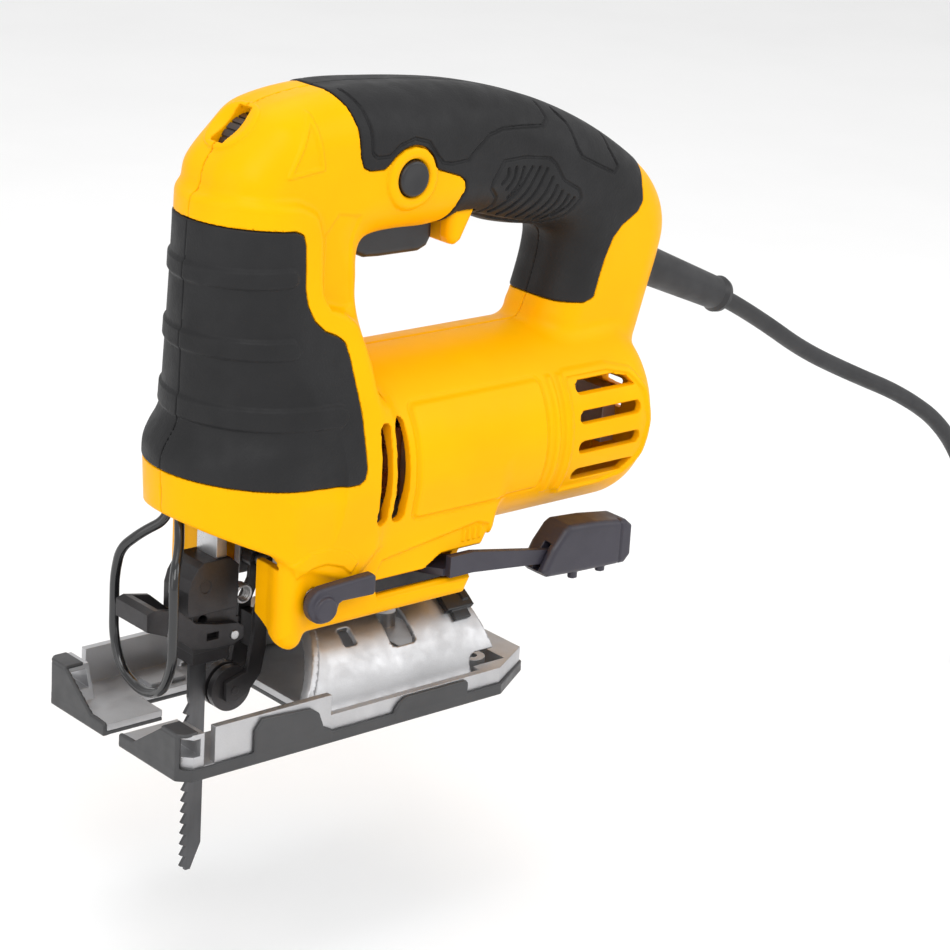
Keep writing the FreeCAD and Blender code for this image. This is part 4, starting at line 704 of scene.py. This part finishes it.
# ---------------------------------------------------------------- cord
LOW = FLOOR_Z + CORD_D / 2.0 + 0.05
COIL_X, COIL_Y = 507.0, -30.0
COIL_R = 47.75             # centre line of the outer turn
ENTRY_Y = COIL_Y + COIL_R
CORD_ROUTE = [(209.0, 0.0, 137.9), (236.0, 0.0, 126.3), (263.5, 0.0, 115.0), (288.0, -0.4, 101.4),
              (312.0, -1.2, 86.2), (340.0, -2.4, 73.0), (369.0, -4.0, 60.4), (395.0, -5.2, 44.0),
              (412.5, -6.6, 20.0), (423.5, -6.0, -8.0), (429.5, -4.4, -34.0), (438.0, -0.8, -55.0),
              (451.5, 4.6, -68.4), (468.5, 10.8, -74.0), (487.5, ENTRY_Y - 1.8, LOW)]
TURN_POINTS = 16
TAIL_R = 36.375            # the cord's end turns back over the coil to the plug
INWARD = [COIL_R - CORD_D * i for i in range(4)]
TURN_RADII = INWARD + INWARD[::-1]
SWELL = 1.0 / math.cos(math.pi / TURN_POINTS)


def coil_points():
    """Control points of the put-away turns: inwards on the floor, outwards on top, then the tail."""
    out = []
    for turn, radius in enumerate(TURN_RADII):
        height = LOW if turn < len(INWARD) else LOW + CORD_D
        later = TURN_RADII[turn + 1] if turn + 1 < len(TURN_RADII) else radius
        rise = CORD_D if turn == len(INWARD) - 1 else 0.0
        for i in range(TURN_POINTS):
            blend = max(0.0, (i - 11.5) / 4.0) if i > 11 else 0.0
            angle = 2.0 * math.pi * i / TURN_POINTS
            r = (radius + (later - radius) * blend) * SWELL
            out.append((COIL_X + r * math.sin(angle), COIL_Y + r * math.cos(angle), height + rise * blend))
    tail_y = COIL_Y + TURN_RADII[-1] - TAIL_R
    for i in range(TURN_POINTS // 2 + 1):
        angle = 2.0 * math.pi * i / TURN_POINTS
        rise = CORD_D * min(1.0, i / 3.0)
        r = TAIL_R * SWELL
        out.append((COIL_X + r * math.sin(angle), tail_y + r * math.cos(angle), LOW + CORD_D + rise))
    return out


def cord_curve():
    """One smooth NURBS line through the air, over the floor and round the coil to the plug."""
    points = CORD_ROUTE + coil_points() + [(COIL_X - 12.0, COIL_Y - 25.0, LOW + 2.0 * CORD_D)]
    curve = bpy.data.curves.new("mains_cord", "CURVE")
    curve.dimensions = "3D"
    line = curve.splines.new("NURBS")
    line.points.add(len(points) - 1)
    for spot, (x, y, z) in zip(line.points, points):
        spot.co = (x * MM, y * MM, z * MM, 1.0)
    line.order_u = 3
    line.use_endpoint_u = True
    line.resolution_u = 8
    curve.bevel_depth = CORD_D / 2.0 * MM
    curve.bevel_resolution = 6
    curve.use_fill_caps = True
    made = bpy.data.objects.new("mains_cord", curve)
    bpy.context.scene.collection.objects.link(made)
    return made


cord = dress(cord_curve(), "body", "cord_rubber", "power_cord", "cord_coil")

# ---------------------------------------------------------------- body pieces
CELL = 0.62
FINE = 0.52
LEFT_SHELL_BOX = ((12.0, -37.0, 29.0), (230.0, 0.6, 213.0))
nose_left = moulded("nose_rubber_left", nose_rubber, (12.0, -36.0, 84.0), (78.0, 0.6, 174.0), FINE)
handle_left = moulded("handle_rubber_left", handle_rubber, (60.0, -23.0, 120.0), (228.0, 0.6, 214.0), FINE)
shell_left = moulded("clamshell_left", clamshell(True), *LEFT_SHELL_BOX, CELL)
shell_right = moulded("clamshell_right_source", clamshell(False), *LEFT_SHELL_BOX, CELL)
nose_right = mirrored("nose_rubber_right", nose_left)
handle_right = mirrored("handle_rubber_right", handle_left)
other = mirrored("clamshell_right", shell_right)
bpy.data.objects.remove(shell_right)
dress(shell_left, "body", "housing_shell", "housing_left")
dress(other, "body", "housing_shell", "housing_right")
dress(nose_left, "body", "soft_grip", "nose_grip_left")
dress(nose_right, "body", "soft_grip", "nose_grip_right")
dress(handle_left, "body", "soft_grip", "handle_grip_left")
dress(handle_right, "body", "soft_grip", "handle_grip_right")

# ---------------------------------------------------------------- small pieces
def outline_piece(name, outline, y0, y1, radius, cell, extra=None):
    """A side outline given thickness and rounded edges, with more shape from extra(field, x, y, z)."""
    flat = FlatField(outline, smooth=False, cell=0.25, margin=4.0)
    middle, half = (y0 + y1) / 2.0, (y1 - y0) / 2.0

    def field(x, y, z):
        made = slab(flat(x, z), y - middle, half, radius)
        return extra(made, x, y, z) if extra else made
    spots = np.array(outline)
    low = (spots[:, 0].min() - 2.0, y0 - 3.0, spots[:, 1].min() - 3.0)
    high = (spots[:, 0].max() + 2.0, y1 + 3.0, spots[:, 1].max() + 2.0)
    return moulded(name, field, low, high, cell)


def rod_y(x, y, z, centre_x, centre_z, radius, y0, y1, edge):
    """Round rod along Y with a rounded rim."""
    a = np.hypot(x - centre_x, z - centre_z) - radius + edge
    b = np.abs(y - (y0 + y1) / 2.0) - (y1 - y0) / 2.0 + edge
    return np.hypot(np.maximum(a, 0.0), np.maximum(b, 0.0)) + np.minimum(np.maximum(a, b), 0.0) - edge


def circle(cx, cz, radius, start, stop, count):
    """Points on an arc in the XZ plane, angles in degrees."""
    turn = [math.radians(start + (stop - start) * i / (count - 1)) for i in range(count)]
    return [(cx + radius * math.cos(a), cz + radius * math.sin(a)) for a in turn]


def knob_shape(body, x, y, z):
    """Adds the boss and the waist to the selector knob, and bores it for its shaft."""
    body = smooth_min(body, rod_y(x, y, z, 55.2, 47.6, 4.3, -40.4, -33.2, 1.0), 1.0)
    waist = rod_y(x, y, z, KNOB_X, KNOB_Z, 3.9, -36.0, -30.2, 0.3)
    bore = rod_y(x, y, z, KNOB_X, KNOB_Z, 2.5, -34.0, -20.0, 0.05)
    return np.maximum(smooth_min(body, waist, 0.4), -bore)


KNOB_ARM = [(60.6, 45.4), (61.6, 48.0), (63.0, 48.6), (75.6, 48.2), (76.4, 49.2), (76.4, 54.6), (75.2, 55.6),
            (64.0, 55.2)]
KNOB_OUTLINE = [(x, min(z, 55.6)) for x, z in circle(KNOB_X, KNOB_Z, 6.3, 100, 290, 14) + KNOB_ARM]
knob = outline_piece("orbit_knob", KNOB_OUTLINE, -38.7, -34.2, 1.3, 0.3, knob_shape)
dress(knob, "selector", "grey_plastic", "selector_knob")

PADDLE = [(154.2, 37.2), (151.6, 39.6), (156.0, 47.5), (161.2, 53.4), (163.6, 54.6), (176.0, 53.8),
          (190.4, 51.8), (193.3, 49.4), (193.4, 38.4), (190.5, 35.5), (170.0, 36.2)]


def paddle_shape(body, x, y, z):
    """Adds two feet and a raised rib to the lever's grip, and opens it for the steel strip."""
    for foot_x in (168.0, 181.0):
        post = np.maximum(np.hypot(x - foot_x, y + 34.0) - 1.7, np.abs(z - 36.0) - 1.9)
        body = smooth_min(body, post, 0.4)
    face = 1.0 - step(-34.5, -33.5, y)
    body = body + face * 0.45 * (1.0 - step(0.2, 0.6, np.abs(x - 187.6)))
    hole = block(x, y, z, (120.0, -33.9, 35.5), (166.3, -30.7, 54.0))
    lever_line = np.maximum(hole, np.abs(z - (44.0 - 0.02 * (x - 150.0))) - 4.6)
    return np.maximum(body, -lever_line)


paddle = outline_piece("lever_paddle", PADDLE, -37.0, -24.0, 2.2, 0.42, paddle_shape)
dress(paddle, "bevel_lever_arm", "grey_plastic", "bevel_lever_grip")
for grip in (knob, paddle):
    grip.data.materials[0] = looks["violet_grey"]


def button_field(x, y, z):
    """Round lock button with a dished face and a stem."""
    cap = rod_y(x, y, z, BUTTON_X, BUTTON_Z, 5.95, -22.6, -16.6, 1.1)
    dish = np.sqrt((x - BUTTON_X) ** 2 + (y + 41.6) ** 2 + (z - BUTTON_Z) ** 2) - 19.35
    cap = smooth_max(cap, -dish, 0.4)
    return np.minimum(cap, rod_y(x, y, z, BUTTON_X, BUTTON_Z, 3.0, -17.0, -14.0, 0.1))


button = moulded("lock_cap", button_field, (89.0, -24.0, 173.0), (105.0, -13.0, 189.0), 0.25)
dress(button, "lock_on", "black_plastic", "lock_button")

TRIGGER_SIDE = [(83.6, 166.0), (83.6, 158.0), (86.2, 154.0), (90.0, 152.2), (96.0, 151.8), (112.5, 151.6),
                (116.0, 153.0), (117.9, 156.3), (117.9, 166.0)]


def trigger_shape(body, x, y, z):
    """Adds the trigger's hinge ear and its pin hole."""
    ear = block(x, y, z, (78.0, -5.0, 163.4), (86.0, 5.0, 169.0), 0.3)
    body = np.minimum(body, ear)
    return np.maximum(body, -rod_y(x, y, z, 80.0, 166.5, 1.55, -10.0, 10.0, 0.05))


trigger = outline_piece("switch_paddle", TRIGGER_SIDE, -8.0, 8.0, 2.4, 0.42, trigger_shape)
dress(trigger, "switch_trigger", "black_plastic", "trigger")


# ---------------------------------------------------------------- shoe
def saddle_field(x, y, z):
    """Half-round bracket that flares into feet on the plate, with its windows and double front lip."""
    radial = np.hypot(y, z)
    arc = 32.5 * np.arctan2(np.abs(y), np.maximum(z, 0.01))
    band = np.abs(radial - SADDLE_R) - 1.25
    foot = block(x, np.abs(y), z, (52.0, 31.6, 3.3), (136.0, 37.0, 4.9), 0.7)
    front = (48.6 + 0.655 * (z - 4.0)) - x
    lip = np.maximum(np.abs(radial - 33.6) - 1.1, np.abs(front + 1.6) - 1.3)
    rear = x - np.minimum(139.5 - 0.24 * z, 137.6)
    shape = smooth_min(band, lip, 1.4)
    shape = smooth_min(shape, foot, 5.5)
    shape = smooth_max(shape, front, 0.5)
    shape = smooth_max(shape, rear, 0.6)
    window = np.hypot(np.maximum(np.abs(x - 100.2) - 3.3, 0.0), np.maximum(arc - 27.1, 0.0)) - 2.0
    small = np.hypot(np.maximum(np.abs(x - 79.4) - 1.5, 0.0), np.maximum(np.abs(arc - 21.6) - 2.3, 0.0)) - 1.1
    shape = smooth_max(shape, -window, 0.4)
    shape = smooth_max(shape, -small, 0.3)
    shape = np.maximum(shape, np.maximum(3.35 - z, 31.25 - radial))
    corner = block(x, np.abs(y), z, (124.8, 20.0, -4.0), (150.0, 44.0, 13.4), 3.4)
    return smooth_max(shape, -corner, 0.5)


def clip_field(x, y, z):
    """Black stepped clip that hooks over the rear edge of the saddle."""
    radial = np.hypot(y, z)
    arc = 35.0 * np.arctan2(np.abs(y), np.maximum(z, 0.01))
    crown = np.maximum(np.abs(radial - 35.1) - 1.1, np.maximum(np.abs(x - 127.0) - 5.8, arc - 24.4))
    tongue = np.maximum(np.abs(radial - 34.7) - 0.7, np.maximum(np.abs(x - 126.6) - 3.4, arc - 28.0))
    ridge = np.maximum(np.abs(radial - 36.1) - 0.7, np.maximum(np.abs(x - 130.4) - 1.2, arc - 22.0))
    return np.minimum(smooth_min(crown, tongue, 0.4), ridge)


saddle = moulded("bevel_saddle", saddle_field, (44.0, -39.0, 2.0), (142.0, 39.0, 37.0), 0.75)
dress(saddle, "shoe", "die_cast", "shoe_saddle")
clip = moulded("click_stop_clip", clip_field, (118.0, -30.0, 20.0), (136.0, 30.0, 39.0), 0.3)
dress(clip, "shoe", "black_plastic", "bevel_clip")

CLIP_A = [(28.4, 0.4), (28.4, 11.6), (31.4, 15.4), (51.0, 14.2), (54.4, 11.8), (56.6, 6.2), (60.0, 4.8),
          (60.0, 0.4)]
CLIP_B = [(86.0, 0.4), (86.0, 4.8), (88.0, 7.4), (91.0, 9.0), (117.0, 8.8), (118.0, 7.8), (118.0, 0.4)]
TOE = [(-40.0, 0.0), (-40.0, 11.6), (-36.6, 15.0), (-27.2, 15.0), (-12.4, 4.6), (-4.3, 4.4), (-4.3, 0.0)]
clip_a = FlatField(CLIP_A, smooth=False, margin=8.0)
clip_b = FlatField(CLIP_B, smooth=False, margin=8.0)
toe_flat = FlatField(TOE, smooth=False, margin=10.0)
plan_flat = FlatField([(0.0, -36.0), (4.0, -40.0), (133.0, -40.0), (152.8, -28.0), (152.8, 28.0),
                       (133.0, 40.0), (4.0, 40.0), (0.0, 36.0)], smooth=False, margin=10.0)


def cover_field(x, y, z):
    """Plastic sole with a thin rim, bevelled side clips and raised toe caps."""
    side = np.abs(y)
    plan = plan_flat(x, y)
    base = np.maximum(plan, np.abs(z - 0.8) - 0.8)
    rim = np.maximum(np.maximum(plan, -(plan + 1.4)), np.abs(z - 2.0) - 2.0)
    shape = smooth_min(base, rim, 0.5)
    for cheek in (clip_a, clip_b):
        shape = smooth_min(shape, slab(cheek(x, z), side - 39.25, 0.8, 0.7), 0.4)
    toe = np.maximum(toe_flat(-side, z), np.maximum(plan, x - 1.6))
    lid = block(x, side, z, (0.2, 27.6, 14.9), (7.4, 38.2, 16.2), 0.4)
    shape = smooth_min(shape, toe, 0.5)
    shape = smooth_min(shape, lid, 0.4)
    shape = smooth_max(shape, plan, 0.8)
    window = np.minimum(block(x, y, z, (-5.0, -4.3, -3.0), (24.0, 4.3, 30.0)),
                        block(x, y, z, (23.0, -17.6, -3.0), (64.0, 17.6, 30.0)))
    shape = np.maximum(shape, -window)
    shape = np.maximum(shape, -(np.hypot(x - 132.0, side - 24.6) - 3.0))
    return np.maximum(shape, -block(x, side, z, (2.3, 30.0, 7.7), (8.1, 50.0, 13.7)))


cover = moulded("sole_cover", cover_field, (-2.0, -42.0, -1.5), (155.0, 42.0, 18.0), 0.62)
dress(cover, "shoe", "grey_plastic", "shoe_cover")

# ---------------------------------------------------------------- floor, light, camera
def floor():
    """One wide pale sheet under the plug and the coil."""
    mesh = bpy.data.meshes.new("floor")
    z = (FLOOR_Z - 0.05) * MM
    mesh.from_pydata([(-4, -4, z), (4, -4, z), (4, 4, z), (-4, 4, z)], [], [(0, 1, 2, 3)])
    made = bpy.data.objects.new("floor", mesh)
    bpy.context.scene.collection.objects.link(made)
    material, tree, shader = new_material("pale_floor")
    place = tree.nodes.new("ShaderNodeTexCoord").outputs["Object"]
    tint = ramp(tree, noise_at(tree, place, 6.0), grey(0.93), grey(0.95))
    tree.links.new(tint, shader.inputs["Base Color"])
    shader.inputs["Roughness"].default_value = 0.7
    mesh.materials.append(material)


def soft_box(name, place, size, power, target=(0.1, 0.0, 0.1)):
    """Rectangular studio light aimed at the tool."""
    light = bpy.data.lights.new(name, "AREA")
    light.shape = "RECTANGLE"
    light.size, light.size_y = size
    light.energy = power
    made = bpy.data.objects.new(name, light)
    made.location = place
    made.rotation_euler = (Vector(target) - Vector(place)).to_track_quat("-Z", "Y").to_euler()
    bpy.context.scene.collection.objects.link(made)


bpy.context.scene.view_settings.view_transform = "Standard"
floor()
soft_box("key", (-0.55, -1.0, 1.15), (0.9, 0.9), 8.6)
soft_box("fill", (-1.2, -0.15, 0.5), (1.0, 1.0), 3.6)
soft_box("rear", (1.0, -0.9, 0.8), (0.8, 0.8), 4.2)
soft_box("top", (0.15, 0.3, 1.5), (1.2, 1.2), 6.0)
world = bpy.data.worlds.new("studio")
bpy.context.scene.world = world
world.use_nodes = True
world.node_tree.nodes["Background"].inputs["Color"].default_value = (1.0, 1.0, 1.0, 1.0)
world.node_tree.nodes["Background"].inputs["Strength"].default_value = 0.80

camera_data = bpy.data.cameras.new("camera")
camera_data.lens = 109.0
camera_data.sensor_width = 36.0
camera_data.clip_end = 50.0
camera = bpy.data.objects.new("camera", camera_data)
bpy.context.scene.collection.objects.link(camera)
right = Vector((0.76115, -0.64578, 0.06015))
up = Vector((0.16961, 0.28771, 0.94258))
ahead = Vector((0.62600, 0.70725, -0.32852))
camera.matrix_world = Matrix.Translation((-0.47898, -0.71069, 0.39466)) @ Matrix(
    (right, up, -ahead)).transposed().to_4x4()
bpy.context.scene.camera = camera
